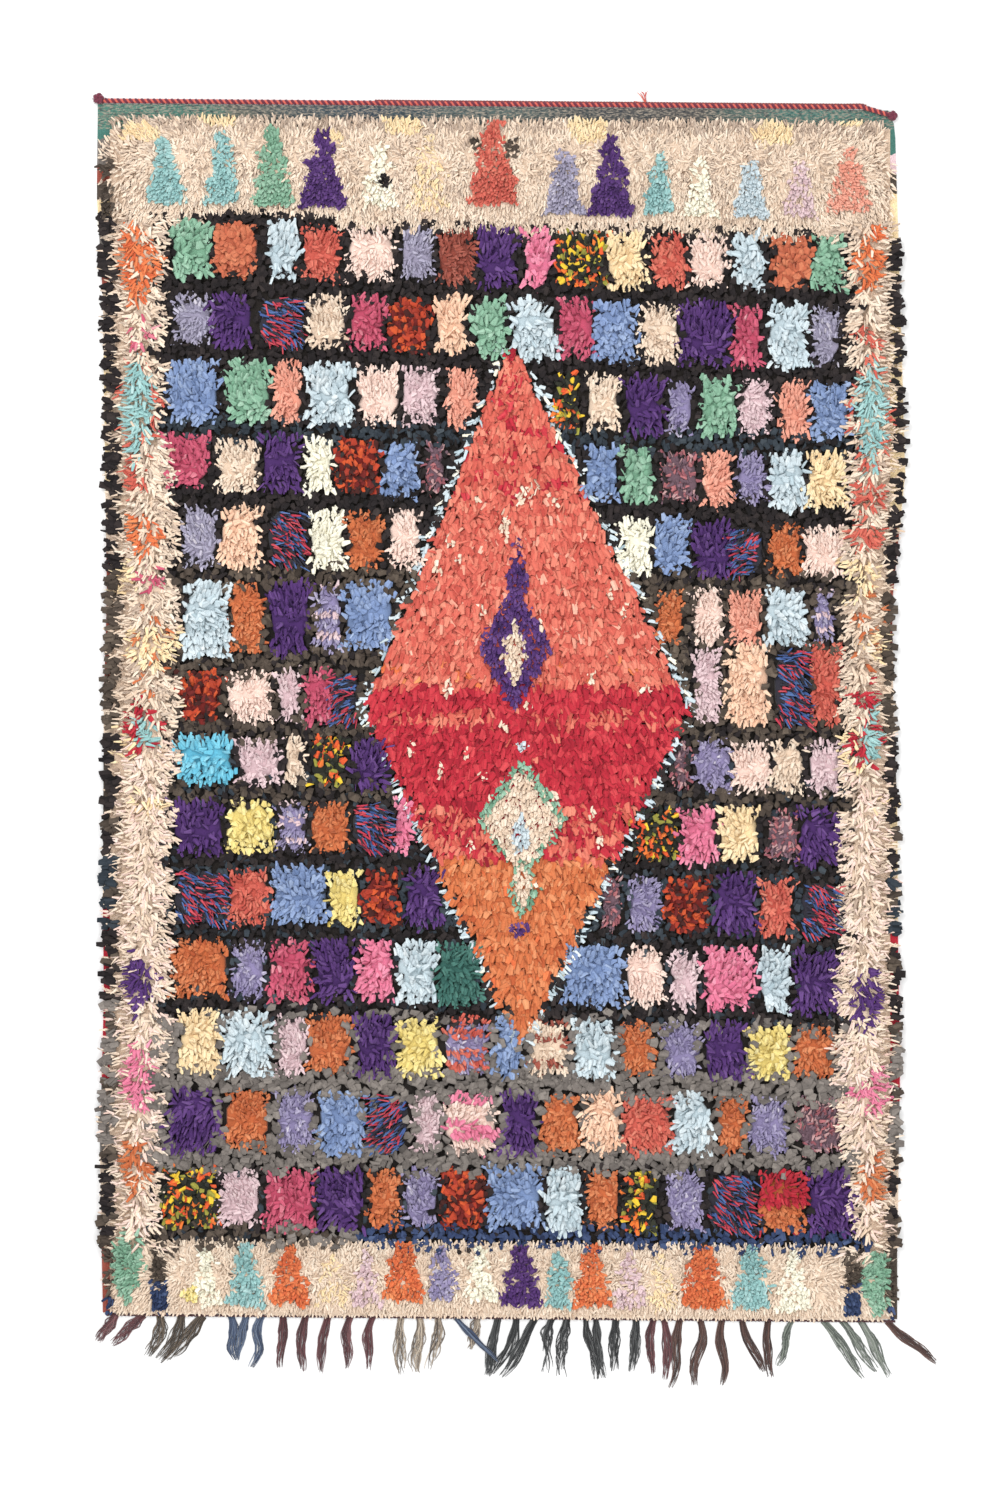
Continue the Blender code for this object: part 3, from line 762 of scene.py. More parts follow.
def in_diamond(x, y, middle_x, middle_y, half_width, half_height):
    """Inside a diamond that is given in mm."""
    across = np.abs(x - middle_x * MM) / (half_width * MM)
    return across + np.abs(y - middle_y * MM) / (half_height * MM) < 1


class Paint:
    """The dye, tone shift (shade) and bluntness of every knot in one set; the tone shift paints shade in
    bands across the lozenge.
    """

    names = list(DYES)

    def __init__(self, x, y, dye, blunt=0.72):
        self.x, self.y = x, y
        self.dye = np.full(len(x), self.names.index(dye))
        # A shift of tone, used for the lozenge's painted row shade.
        self.shade = np.zeros(len(x))
        self.blunt = np.full(len(x), blunt)

    def lay(self, where, dye):
        self.dye[where] = self.names.index(dye)

    def is_any(self, *dyes):
        return np.isin(self.dye, [self.names.index(dye) for dye in dyes])


# The border

SIDE_PITCH = (5.8 * MM, 5.8 * MM)
END_PITCH = (4.7 * MM, 4.7 * MM)

# The dark locks of the selvedges: how far in they stand, and where the topmost are
RIM_LEFT = 42 * MM
RIM_RIGHT = 31 * MM
RIM_LEFT_TOP = 1080 * MM
RIM_RIGHT_TOP = 936 * MM
RIM_BOTTOM = 25 * MM
LOCK_STEP = 27 * MM

# Trees whose wool is mixed with the cream
FAINT = {"ivory": 0.8, "butter": 0.6, "mauve": 0.65, "salmon": 0.7}


def in_field(x, y):
    """Inside the cream border, whose inner edge wanders and lets the dark bands run into it."""
    heights = band_heights(x)
    nearest = np.min(np.abs(y - heights), 0)
    tongue = (16 + 9 * np.sin(y * 29 + np.sign(x))) * MM * smooth(1.4 - nearest / (20 * MM))
    inset = field_inset(x, y) + tongue + 8 * MM * ripple(y, y, 14 * MM, 0.3 + np.sign(x))
    top = heights[0] - 15 * MM + 4 * MM * ripple(x, x, 21 * MM, 0.9)
    for middle, half, rise in NOTCHES:
        top += rise * MM * smooth((half * MM - np.abs(x - middle * MM)) / (9 * MM) + 0.5)
    return (inset > 0) & (y < top) & (y > heights[-1] - 19 * MM)


def border_zone(x, y):
    row = row_height(x, y)
    bare = row > TOP_END - BARE_END
    corner_left = (x < left_edge(y) + 30 * MM) & (row > 1122 * MM)
    corner_right = (x > right_edge(y) - 26 * MM) & (row > 1096 * MM)
    return in_cloth(x, y, 11 * MM) & ~in_field(x, y) & ~bare & ~corner_left & ~corner_right


def paint_trees(paint, x, y, trees, rng):
    loose = rng.uniform(0, 1, len(x))
    for middle, tip, foot, half, dye in trees:
        share = np.clip((tip * MM - y) / ((tip - foot) * MM), 0, 1)
        inside = (y < tip * MM) & (y > foot * MM)
        reach = half * MM * (0.22 + 0.78 * share)
        paint.lay(inside & (np.abs(x - middle * MM) < reach) & (loose < FAINT.get(dye, 1.1)), dye)


def paint_border(x, y, rng):
    """Cream with trees at both ends and motifs down both sides."""
    row = row_height(x, y)
    paint = Paint(x, y, "ecru")
    wx = x + 5 * MM * ripple(x, y, 11 * MM, 0.4)
    wy = y + 5 * MM * ripple(x, y, 13 * MM, 1.9)
    # Taupe knots. Above row 1138 mm most knots are taupe, a painted shade of the pile's shadowed top edge.
    # Elsewhere in the top half a few are taupe at random, for tone.
    greyed = np.where(row > 1138 * MM, 0.6, np.where(row > 0, 0.12, 0))
    paint.lay(rng.uniform(0, 1, len(x)) < greyed, "taupe")
    paint.lay((row > 1120 * MM) & (ripple(x, y, 60 * MM, 2) > 0.5), "butter")
    paint_trees(paint, wx, wy, TOP_TREES + BOTTOM_TREES, rng)
    for *diamond, dye in END_SPOTS:
        paint.lay(in_diamond(x, y, *diamond), dye)
    for spot in TREE_SPOTS_X:
        paint.lay((np.abs(x - spot * MM) < 7 * MM) & (np.abs(y - TREE_SPOTS_Y * MM) < 12 * MM), "umber")
    chance = rng.uniform(0, 1, len(x))
    beside = beside_field(x, y)
    paint.lay(beside & (ripple(x, y, 70 * MM, 1) > 0.35) & (y > -200 * MM) & (y < 300 * MM), "butter")
    paint.lay(beside & (y < -60 * MM) & (chance < 0.3), "blush")
    paint.lay(beside & (chance > 0.86), "taupe")
    for middle_x, middle_y, half_x, half_y, share, dye in SIDE_MOTIFS:
        patch = ripple(x, y, 15 * MM, middle_y) * 0.5 + 0.5
        inside = in_diamond(wx, wy, middle_x, middle_y, half_x - 5, half_y)
        paint.lay(inside & (0.8 * patch + 0.2 * chance < share), dye)
    return paint


def from_side(x, y):
    return np.minimum(x - left_edge(y), right_edge(y) - x)


def rim_width(x):
    return np.where(x < 0, RIM_LEFT, RIM_RIGHT)


def cream_start(x, y):
    """How far in from the selvedge the cream knots begin."""
    row = row_height(x, y)
    without_rim = (row < FIELD_BOTTOM) | ((x > 0) & (row > RIM_RIGHT_TOP))
    return np.where(without_rim, 31 * MM, rim_width(x) + 14 * MM)


def dark_locks(x, y):
    """Where the dark locks of the selvedges stand, a clump for every few weft rows."""
    row = row_height(x, y)
    side = np.sign(x)
    step = np.mod(row / LOCK_STEP + 0.5 * np.sin(row * 37 + side), 1)
    share = 0.7 + 0.18 * np.sin(row * 61 + 2 * side)
    depth = rim_width(x) * (0.65 + 0.3 * np.abs(np.sin(row * 43 + side)))
    depth = np.where(row < FIELD_BOTTOM, RIM_BOTTOM, depth)
    top = np.where(x < 0, RIM_LEFT_TOP, RIM_RIGHT_TOP)
    return (from_side(x, y) < depth) & (step < share) & (row < top)


def lay_row_grounds(paint, heights, where=True):
    """Each row's own dark dye, between the middles of the bands above and below it."""
    for number, (ground, _, _) in enumerate(BLOCKS):
        paint.lay(where & (paint.y <= heights[number]) & (paint.y > heights[number + 1]), ground)


def paint_rim(paint, x, y):
    """Dark locks along both selvedges, and dashes that run down beside the bottom border."""
    row = row_height(x, y)
    rim = dark_locks(x, y)
    paint.lay(rim, "umber")
    lay_row_grounds(paint, band_heights(x), rim)
    paint.lay(rim & (row < -1180 * MM), "navy")
    paint.lay(rim & (row < -150 * MM) & (np.mod(row, 130 * MM) < 24 * MM), "umber")
    stripes = (np.abs(x + 676 * MM) < 15 * MM) | (np.abs(x - 700 * MM) < 15 * MM)
    dashes = stripes & (np.mod(row / (52 * MM) + 0.2, 1) < 0.84)
    paint.lay(dashes & (row < FIELD_BOTTOM), "umber")
    paint.lay(dashes & (row < -1150 * MM), "navy")
    return rim


def beside_field(x, y):
    row = row_height(x, y)
    return (field_inset(x, y) < 30 * MM) & (row < FIELD_TOP - 8 * MM) & (row > FIELD_BOTTOM - 4 * MM)


def border_knots(pitch, is_side, rng):
    x, y = knots(-0.81, 0.82, BOTTOM_END + 5 * MM, TOP_END, *pitch, rng)
    past = from_side(x, y) - cream_start(x, y)
    chance = rng.uniform(0, 1, len(x))
    rim = dark_locks(x, y) & (chance < 0.62)
    cream = ((past > 0) | (chance > 0.58)) & ~dark_locks(x, y)
    keep = border_zone(x, y) & (beside_field(x, y) == is_side) & (cream | rim)
    return x[keep], y[keep]


def side_border_tufts(rng):
    """Rags down both sides, parted along the border's middle and falling down the rug."""
    x, y = border_knots(SIDE_PITCH, True, rng)
    paint = paint_border(x, y, rng)
    rim = paint_rim(paint, x, y)
    count = len(x)
    inside = np.maximum(from_side(x, y) - rim_width(x), 0)
    share = inside / (inside + np.maximum(-field_inset(x, y), 1 * MM))
    outward = np.sign(x) * (1 - 2 * share)
    splay = rng.normal(0, 0.2, (2, count)) + 0.55 * np.array(swirl(x, y, 12 * MM, 0.7))
    heading = np.arctan2(-0.35 + splay[1], 1.2 * outward + splay[0])
    length = rng.uniform(22, 34, count) * MM
    width = rng.uniform(5.6, 9, count) * MM
    outermost = ~rim & (from_side(x, y) < cream_start(x, y) + 6 * MM)
    over_edge = np.where(x < 0, math.pi, 0) + splay[1] * 0.8
    heading = np.where(rim | outermost, over_edge, heading)
    length[rim] = rng.uniform(18, 30, rim.sum()) * MM
    width[rim] = rng.uniform(11, 18, rim.sum()) * MM
    length[outermost] *= 0.85
    width[outermost] *= 0.7
    paint.blunt[~rim] = 0.5
    return paint, heading, length, width, rng.uniform(0.95, 1.25, count)


def end_border_tufts(rng):
    """Finer wool across both ends: combed down over the field, and up along the bare end."""
    x, y = border_knots(END_PITCH, False, rng)
    paint = paint_border(x, y, rng)
    rim = paint_rim(paint, x, y)
    row = row_height(x, y)
    count = len(x)
    parting = np.where(row > 0, 1085 * MM + 24 * MM * ripple(x, x, 45 * MM, 0.5), -1150 * MM)
    upward = np.clip((row - parting) / (60 * MM), -1, 1)
    splay = rng.normal(0, 0.2, (2, count)) + 0.35 * np.array(swirl(x, y, 15 * MM, 0.7))
    near_side = (np.abs(x) > 640 * MM) * np.sign(x)
    heading = np.arctan2(upward - 0.15 + splay[1], 0.5 * near_side + splay[0])
    length = rng.uniform(15, 23, count) * MM
    width = rng.uniform(4.4, 6.8, count) * MM
    paint.blunt[:] = 0.5
    dyed = ~paint.is_any("ecru", "taupe", "butter")
    width[dyed] *= 1.7
    length[rim] = rng.uniform(16, 28, rim.sum()) * MM
    width[rim] = rng.uniform(7, 10, rim.sum()) * MM
    length[row < BOTTOM_END + 16 * MM] *= 0.7
    return paint, heading, length, width, rng.uniform(0.9, 1.15, count) - 0.25 * dyed


# The field of blocks

GROUND_PITCH = (10.4 * MM, 10 * MM)
BLOCK_PITCH = (6.5 * MM, 6.5 * MM)
COARSE_PITCH = (7.6 * MM, 7.6 * MM)
COARSE = {"leaf", "sky", "blue", "plum", "rust", "yellow", "turquoise", "crimson", "pink", "ember"}
PITCHES = {"ticking": (5.4 * MM, 6.5 * MM), **dict.fromkeys(COARSE, COARSE_PITCH)}

# A block's knots are drawn in from its visible edge, because their tufts fan out past them.
FAN_X = 4 * MM
FAN_Y = 8 * MM

# How each dye's rags are cut, against the usual strip. Columns: width, length, disorder.
CUTS = {
    "leaf": (1.15, 1.0, 1.1), "rust": (1.5, 0.8, 1.8), "sky": (1.1, 1.05, 0.8), "coral": (0.9, 0.85, 1.3),
    "blush": (0.8, 0.8, 0.8), "slate": (0.7, 0.8, 1.5), "brick": (0.8, 0.85, 1.4), "plum": (0.75, 1.1, 0.8),
    "ticking": (0.55, 1.3, 0.4), "crimson": (0.9, 0.95, 1.0), "ember": (1.4, 0.8, 1.8),
    "orange": (0.95, 0.75, 1.6), "confetti": (1.2, 0.9, 1.6), "mauve": (0.8, 0.8, 1.3),
    "mulberry": (0.7, 0.75, 1.8), "lilac": (0.75, 0.8, 1.5), "yellow": (1.0, 0.9, 1.4),
    "ecru": (0.85, 0.85, 0.9), "blue": (1.05, 0.95, 1.1), "salmon": (0.85, 0.9, 0.7),
    "ash": (1.5, 1.15, 1.2), "black": (1.15, 1.0, 1.0), "umber": (1.35, 1.0, 1.2),
}


def cut_of(paint):
    """Width, length and disorder factors of every knot's rag."""
    table = np.ones((len(paint.names), 3))
    for dye, cut in CUTS.items():
        table[paint.names.index(dye)] = cut
    return table[paint.dye].T


def words_and_widths(line):
    """The dyes of a chart line and their widths, where a dye may carry one."""
    words = [word.split(":") for word in line.split()]
    return [word[0] for word in words], [float(word[1]) if len(word) > 1 else 1.0 for word in words]


def spread_blocks(line, start, end):
    """(middle, half width, dye) of each block of a chart line, filling the run from start to end."""
    dyes, widths = words_and_widths(line)
    unit_width = (end - start) / sum(widths)
    blocks = []
    for dye, width in zip(dyes, widths):
        blocks.append((start + unit_width * width / 2, unit_width * width / 2, dye))
        start += unit_width * width
    return blocks


def block_runs(number):
    """(chart line, start x, end x, whether it is the right half) of one row's runs of blocks."""
    _, left_line, right_line = BLOCKS[number]
    row_left, row_right = (end * MM for end in ROW_ENDS[number])
    if not FIRST_LOZENGE_ROW <= number <= LAST_LOZENGE_ROW:
        return [(left_line + " " + right_line, row_left, row_right, False)]
    middle = band_heights(np.zeros(1))[number:number + 2].mean()
    _, left, right = lozenge_reach(np.zeros(1), np.array([middle]))
    return [
        (left_line, row_left, left[0] - LOZENGE_CLEARANCE, False),
        (right_line, right[0] + LOZENGE_CLEARANCE, row_right, True),
    ]


def chart_blocks(rng):
    """(middle x, its row's middle height, half width, half height, dye) of every block."""
    found = []
    for number in range(len(BLOCKS)):
        for line, start, end, is_right in block_runs(number):
            for x, half_width, dye in spread_blocks(line, start, end):
                heights = band_heights(np.array([x]))[:, 0]
                high, low = heights[number] - BAND_HALF, heights[number + 1] + BAND_HALF
                if is_right and number in JOINED_BELOW_RIGHT:
                    low -= BAND_HALF
                if is_right and number - 1 in JOINED_BELOW_RIGHT:
                    high += BAND_HALF
                shift = rng.uniform(-4, 4, 3) * MM
                middle = row_height(x, (low + high) / 2) + shift[2]
                found.append((x + shift[1], middle, half_width - 1.5 * MM + shift[0], (high - low) / 2, dye))
    return found


def field_zone(x, y):
    outside, _, _ = lozenge_reach(x, y)
    return in_field(x, y) & (outside > OUTLINE_WIDTH)


def paint_dark_ground(x, y, rng):
    """Dark rag between the blocks, in each row's own dye, with the bands over it."""
    chance = rng.uniform(0, 1, len(x))
    paint = Paint(x, y, "black")
    heights = band_heights(x)
    lay_row_grounds(paint, heights)
    for height, (_, _, dye) in zip(heights, BANDS):
        close = np.abs(y - height) < BAND_HALF + 4 * MM
        paint.lay(close & (chance < 0.85), dye)
    lowest = y < heights[-1] + BAND_HALF + 4 * MM
    paint.lay(lowest & (chance < 0.97), "navy")
    low_left = lowest & (x < -290 * MM)
    paint.lay(low_left, "umber")
    paint.lay(low_left & (x > -460 * MM) & (chance < 0.6), "ash")
    paint.lay(paint.is_any("umber") & (chance < 0.25), "black")
    paint.lay(paint.is_any("black") & (y < -100 * MM) & (chance < 0.15), "soot")
    return paint


def ground_tufts(blocks, rng):
    """The dark tufts: short, broad, and falling either way along the rug."""
    left, right, bottom = FIELD_LEFT - 50 * MM, FIELD_RIGHT + 50 * MM, FIELD_BOTTOM - 10 * MM
    x, y = knots(left, right, bottom, 1.01, *GROUND_PITCH, rng)
    row = row_height(x, y)
    keep = field_zone(x, y)
    for middle_x, middle_y, half_x, half_y, _ in blocks:
        keep &= (np.abs(x - middle_x) >= half_x - FAN_X) | (np.abs(row - middle_y) >= half_y - FAN_Y)
    x, y = x[keep], y[keep]
    paint = paint_dark_ground(x, y, rng)
    count = len(x)
    wide, long, disorder = cut_of(paint)
    upward = (rng.uniform(0, 1, count) < 0.5) & (y < band_heights(x)[0] - 12 * MM)
    heading = np.where(upward, 1, -1) * math.pi / 2 + rng.normal(0, 0.7, count) * disorder
    heading[paint.is_any("ash")] -= math.pi * 0.4
    length = rng.uniform(17, 25, count) * long * MM
    width = rng.uniform(10, 15, count) * wide * MM
    return paint, heading, length, width, rng.uniform(0.9, 1.2, count)


def block_knots(block, rng):
    """One block's knots, their places across and along it from -1 to 1, and each one's seam height."""
    middle_x, middle_y, half_x, half_y, dye = block
    reach_x, reach_y = half_x - FAN_X, half_y - FAN_Y
    bounds = (middle_x - reach_x, middle_x + reach_x, middle_y - reach_y, middle_y + reach_y)
    x, y = knots(*bounds, *PITCHES.get(dye, BLOCK_PITCH), rng)
    across, along = (x - middle_x) / reach_x, (row_height(x, y) - middle_y) / reach_y
    seam, lean, flare, waist, phase = rng.uniform((-0.6, -0.4, 0, 0, 0), (0.6, 0.4, 0.25, 0.3, 6))
    tilt = seam + rng.uniform(-0.4, 0.4) * across
    edge_x, edge_y = swirl(x, y, 16 * MM, phase)
    keep = field_zone(x, y) & (np.abs(along) < 0.95 + 0.12 * edge_y)
    keep &= np.abs(across) < 0.98 + 0.2 * edge_x - waist * np.clip(1 - 2.5 * (along - tilt) ** 2, 0, 1)
    return [values[keep] for values in (x, y, across, along, tilt)], lean, flare, phase


def block_tufts(block, rng):
    """One block's rags. They part along a seam, fall up and down from it, and stray at the edges."""
    dye = block[-1]
    (x, y, across, along, tilt), lean, flare, phase = block_knots(block, rng)
    count = len(x)
    ground, stripe, stripes, stripe_share = STRIPES.get(dye, (dye, dye, 1, 0))
    paint = Paint(x, y, ground, blunt=0.48)
    paint.lay(np.mod((1 - along) / 2 * stripes, 1) < stripe_share, stripe)
    wide, long, disorder = cut_of(paint)
    turn_x, turn_y = swirl(x, y, 9 * MM, phase)
    stray_x = (0.45 * turn_x + rng.normal(0, 0.17, count)) * disorder
    stray_y = (0.4 * turn_y + rng.normal(0, 0.17, count)) * disorder
    lean_x = lean + flare * across + 0.4 * across ** 5 + stray_x
    lean_y = 0.95 * np.tanh((along - tilt) * 4) + stray_y
    if dye == "ticking":
        slant_x, slant_y = swirl(x, y, 30 * MM, phase)
        lean_x = 1.2 * np.sign(lean) + 0.6 * slant_x + 0.2 * lean_x
        lean_y = 0.2 * lean_y - 0.8 + 0.8 * slant_y
    edge = np.maximum(np.abs(across), np.abs(along))
    length = rng.uniform(20, 31, count) * (1.05 - 0.15 * edge ** 3) * long * MM
    closeness = PITCHES.get(dye, BLOCK_PITCH)[0]
    width = rng.uniform(8, 12.5, count) * wide * MM * closeness / BLOCK_PITCH[0]
    lay = 0.8 + 0.3 * edge ** 2 + rng.normal(0, 0.15, count)
    return paint, np.arctan2(lean_y, lean_x), length, width, lay


# The lozenge

LOZENGE_PITCH = (7.4 * MM, 8.4 * MM)
MARK_PITCH = (5.4 * MM, 7 * MM)
LOZENGE_MIDDLE = 36 * MM
FLECKS = 28


def lozenge_flecks(rng):
    """Small pale marks strewn over the lozenge's ground, in the columns of LOZENGE_MARKS."""
    flecks = []
    while len(flecks) < FLECKS:
        x, y = rng.uniform(-200, 300), rng.uniform(-300, 460)
        outside, _, _ = lozenge_reach(x * MM, y * MM)
        if outside < -24 * MM:
            flecks.append((x, y, rng.uniform(5, 8), rng.uniform(12, 24), "ecru"))
    return tuple(flecks)


def lozenge_knots(flecks, rng):
    """Wide-set knots for the lozenge's ground, and closer ones in its marks and along its edge."""
    found = []
    for pitch, stray, is_close in ((LOZENGE_PITCH, 0.2, False), (MARK_PITCH, 0.3, True)):
        x, y = knots(-0.3, 0.4, -0.69, 0.76, *pitch, rng, stray)
        outside, _, _ = lozenge_reach(x, y)
        fine = outside > -3 * MM
        for *diamond, _ in LOZENGE_MARKS + flecks:
            fine |= in_diamond(x, y, *diamond)
        gap = (outside > 0) & (ripple(x, y, 12 * MM, 0.6) > 0.08)
        keep = (fine == is_close) & (outside <= OUTLINE_WIDTH) & ~gap
        found.append((x[keep], y[keep]))
    return np.concatenate(found, 1)


def paint_lozenge(paint, flecks, outline, chance):
    """Bands of coral, scarlet and orange, with streaks, flecks and marks over them and a pale outline."""
    x, y = paint.x, paint.y
    wy = y + 5 * MM * ripple(x, y, 25 * MM, 1.1)
    patch = ripple(x * 0.6, y * 1.6, 24 * MM, 2.6) * 0.5 + 0.5
    upper = TOP_END
    for lowest, dye, second, share in LOZENGE_GROUND:
        band = (wy <= upper) & (wy > lowest * MM)
        paint.lay(band, dye)
        paint.lay(band & (0.55 * patch + 0.45 * chance < share), second)
        upper = lowest * MM
    streak = (np.abs(x - 22 * MM) < 9 * MM) & (y > 420 * MM)
    paint.lay(streak & (chance < 0.6), "scarlet")
    inner_strip = (y < 0) & (y > -30 * MM) & (np.abs(np.abs(x - 50 * MM) - 130 * MM) < 70 * MM)
    paint.lay(inner_strip & (chance < 0.7), "coral")
    for *diamond, dye in flecks + LOZENGE_MARKS:
        paint.lay(in_diamond(x, y, *diamond), dye)
    paint.lay(outline, "sky")
    paint.lay(outline & (chance < 0.12), "ivory")


def lozenge_tufts(rng):
    """Broad rag in rows that fall down the rug like scales, and a pale outline that leans outward."""
    flecks = lozenge_flecks(rng)
    x, y = lozenge_knots(flecks, rng)
    outline = lozenge_reach(x, y)[0] > 0
    count = len(x)
    paint = Paint(x, y, "coral", blunt=0.64)
    paint_lozenge(paint, flecks, outline, rng.uniform(0, 1, count))
    # Painted shade: the tone dips in bands every 29 mm of weft rows, the shade of the creases between the
    # lozenge's rows of scales.
    scales = row_height(x, y) / (29 * MM) * math.tau
    paint.shade = 0.2 * np.sin(scales + 1.5 * ripple(x, y, 60 * MM, 0.4))
    from_middle = x - LOZENGE_MIDDLE
    turn_x, _ = swirl(x, y, 13 * MM, 0.2)
    lean_x = rng.normal(0, 0.25, count) + 0.5 * turn_x + outline * np.where(from_middle > 0, 0.6, -0.6)
    lean_x += np.clip(from_middle / 0.3, -1, 1) * 0.35
    lean_y = rng.normal(-1, 0.25, count) + 0.5 * outline
    length = rng.uniform(21, 33, count) * MM
    width = rng.uniform(9, 16.5, count) * MM
    marks = paint.is_any("plum", "ecru", "sky", "leaf") & ~outline
    width[marks | outline] *= 0.7
    length[marks] *= 0.8
    lay = rng.uniform(1.12, 1.34, count) - 0.35 * marks
    return paint, np.arctan2(lean_y, lean_x), length, width, lay


# The whole pile

def spread_tones(paint, rng):
    """Each tuft's place among its dye's shades: even for a mixed rag, near the middle for a plain one."""
    patch = 0.1 * ripple(paint.x, paint.y, 46 * MM, 0.5) + 0.07 * ripple(paint.x, paint.y, 15 * MM, 3.1)
    # paint.shade adds the lozenge's painted row shade to the tone.
    tone = np.clip(rng.normal(0.52, 0.15, len(paint.dye)) + patch + paint.shade, 0, 0.999)
    mixed = paint.is_any(*MIXED)
    tone[mixed] = rng.uniform(0, 0.999, mixed.sum())
    return tone


def border_beds(rng):
    """Cream slabs of close knots under the border, inside its rims."""
    side = 30 * MM
    x, y = knots(-0.79, 0.8, BOTTOM_END + side / 2, TOP_END - 45 * MM, side, side * 0.9, rng, stray=0)
    inside = np.ones(len(x), bool)
    for step_x in (-0.5, 0.5):
        for step_y in (-0.5, 0.5):
            corner_x, corner_y = x + step_x * side, y + step_y * side
            past = from_side(corner_x, corner_y) - cream_start(corner_x, corner_y)
            inside &= border_zone(corner_x, corner_y) & (past > 0)
    return [bed_points(px, row_height(px, py), side * 0.75, side * 0.62, rng.uniform(7, 10) * MM, rng)
            for px, py in zip(x[inside], y[inside])]


def make_beds(blocks, rng):
    """Slabs of close knots under the border, the blocks and the lozenge, by dye."""
    beds = defaultdict(list, ecru=border_beds(rng))
    for middle_x, middle_y, half_x, half_y, dye in blocks:
        points = bed_points(middle_x, middle_y, half_x - FAN_X, half_y - FAN_Y, 9 * MM, rng)
        beds[STRIPES.get(dye, (dye,))[0]].append(points)
    upper = LOZENGE_TOP[1] - 14 * MM
    while upper > LOZENGE_BOTTOM[1] + 14 * MM:
        middle = upper - 6 * MM
        _, left, right = lozenge_reach(0, middle)
        dye = next(dye for lowest, dye, _, _ in LOZENGE_GROUND if middle > lowest * MM)
        half = max((right - left) / 2 - 2 * MM, 2 * MM)
        top = rng.uniform(8, 11) * MM
        beds[dye].append(bed_points((left + right) / 2, middle, half, 9 * MM, top, rng))
        upper -= 12 * MM
    return beds


def split_groups(groups, parts):
    """Groups shared out from left to right into so many piece-sized lists."""
    shares = [[] for _ in range(parts)]
    for shape, points, tone in groups:
        order = np.argsort(points[:, 0, 0], kind="stable")
        for share, chosen in zip(shares, np.array_split(order, parts)):
            if len(chosen):
                share.append((shape, points[chosen], tone[chosen]))
    return shares


def make_pile():
    """All the tufts, gathered by dye, each dye one piece or a few of even size."""
    rng = np.random.default_rng(SEED)
    blocks = chart_blocks(rng)
    plans = [side_border_tufts(rng), end_border_tufts(rng), ground_tufts(blocks, rng), lozenge_tufts(rng)]
    plans += [block_tufts(block, rng) for block in blocks]
    gathered = defaultdict(list)
    for paint, *how in plans:
        roots = np.column_stack([paint.x, paint.y])
        points = tuft_points(roots, *how, paint.blunt, rng)
        tone = spread_tones(paint, rng)
        for index in np.unique(paint.dye):
            chosen = paint.dye == index
            gathered[Paint.names[index]].append((TUFT, points[chosen], tone[chosen]))
    beds = make_beds(blocks, rng)
    pieces = []
    for dye, groups in gathered.items():
        parts = math.ceil(sum(len(tone) for _, _, tone in groups) / MOST_TUFTS)
        if dye in beds:
            points = np.stack(beds[dye])
            groups.append((BED, points, np.full(len(points), BED_TONE)))
        material = rag_material(dye)
        for number, share in enumerate(split_groups(groups, parts)):
            name = f"pile_{dye}_{number + 1}" if parts > 1 else f"pile_{dye}"
            pieces.append(settle(copies_object(name, share, material)))
    return pieces


# Ground cloth

def make_ground():
    """The woven ground, a thin closed sheet whose bare end and selvedges show."""
    wide, tall = 51, 91
    rows, columns = np.linspace(BOTTOM_END, TOP_END, tall), np.linspace(0, 1, wide)
    y, share = np.meshgrid(rows, columns, indexing="ij")
    x = left_edge(y) + (right_edge(y) - left_edge(y)) * share
    wave = 0.5 * MM * np.sin(x * 40 + y * 23) * np.cos(y * 31)
    upper = np.stack([x, y + ROW_SLOPE * x, CLOTH_THICKNESS - 0.6 * MM + wave], -1).reshape(-1, 3)
    points = np.concatenate([upper, upper * (1, 1, 0) + (0, 0, 0.1 * MM)])

    under = wide * tall
    number = np.arange(under).reshape(tall, wide)
    quads = [number[:-1, :-1], number[:-1, 1:], number[1:, 1:], number[1:, :-1]]
    quads = np.stack(quads, -1).reshape(-1, 4)
    sheets = np.stack([quads, quads[:, ::-1] + under], 1).reshape(-1, 4)
    rim = np.concatenate([number[0], number[1:, -1], number[-1, -2::-1], number[-2:0:-1, 0]])
    after = np.roll(rim, -1)
    walls = np.stack([after, rim, rim + under, after + under], -1)
    faces = np.concatenate([sheets, walls])

    mesh = bpy.data.meshes.new("ground")
    mesh.from_pydata(points.tolist(), [], faces.tolist())
    mesh.update()
    mesh.shade_smooth()
    mesh.set_sharp_from_angle(angle=math.radians(50))
    inset = mesh.attributes.new("inset", "FLOAT", "POINT")
    inset.data.foreach_set("value", field_inset(points[:, 0], points[:, 1]).astype(np.float32))
    mesh.materials.append(ground_material())
    return settle(add_object("ground", mesh))


# Cords and yarns

def tube_points(path, radius, sides):
    """Rings round each path. path is (paths, points, 3) and radius (paths, points)."""
    ahead = unit_length(np.gradient(path, axis=1))
    level = unit_length(sideways(ahead))
    upward = np.cross(ahead, level)
    turn = np.arange(sides) / sides * math.tau
    around = level[:, :, None] * np.cos(turn)[:, None] + upward[:, :, None] * np.sin(turn)[:, None]
    points = path[:, :, None] + around * radius[:, :, None, None]
    points[..., 2] = np.maximum(points[..., 2], 0.2 * MM)
    return tube_shape(path.shape[1], sides), points.reshape(len(path), -1, 3)


def one_tube(path, radius, sides, tone):
    """A group of a single tube of even thickness."""
    return (*tube_points(path[None], np.full((1, len(path)), radius), sides), np.full(1, tone))


def cord_line(x):
    return TOP_END + CORD_OFFSET + ROW_SLOPE * x


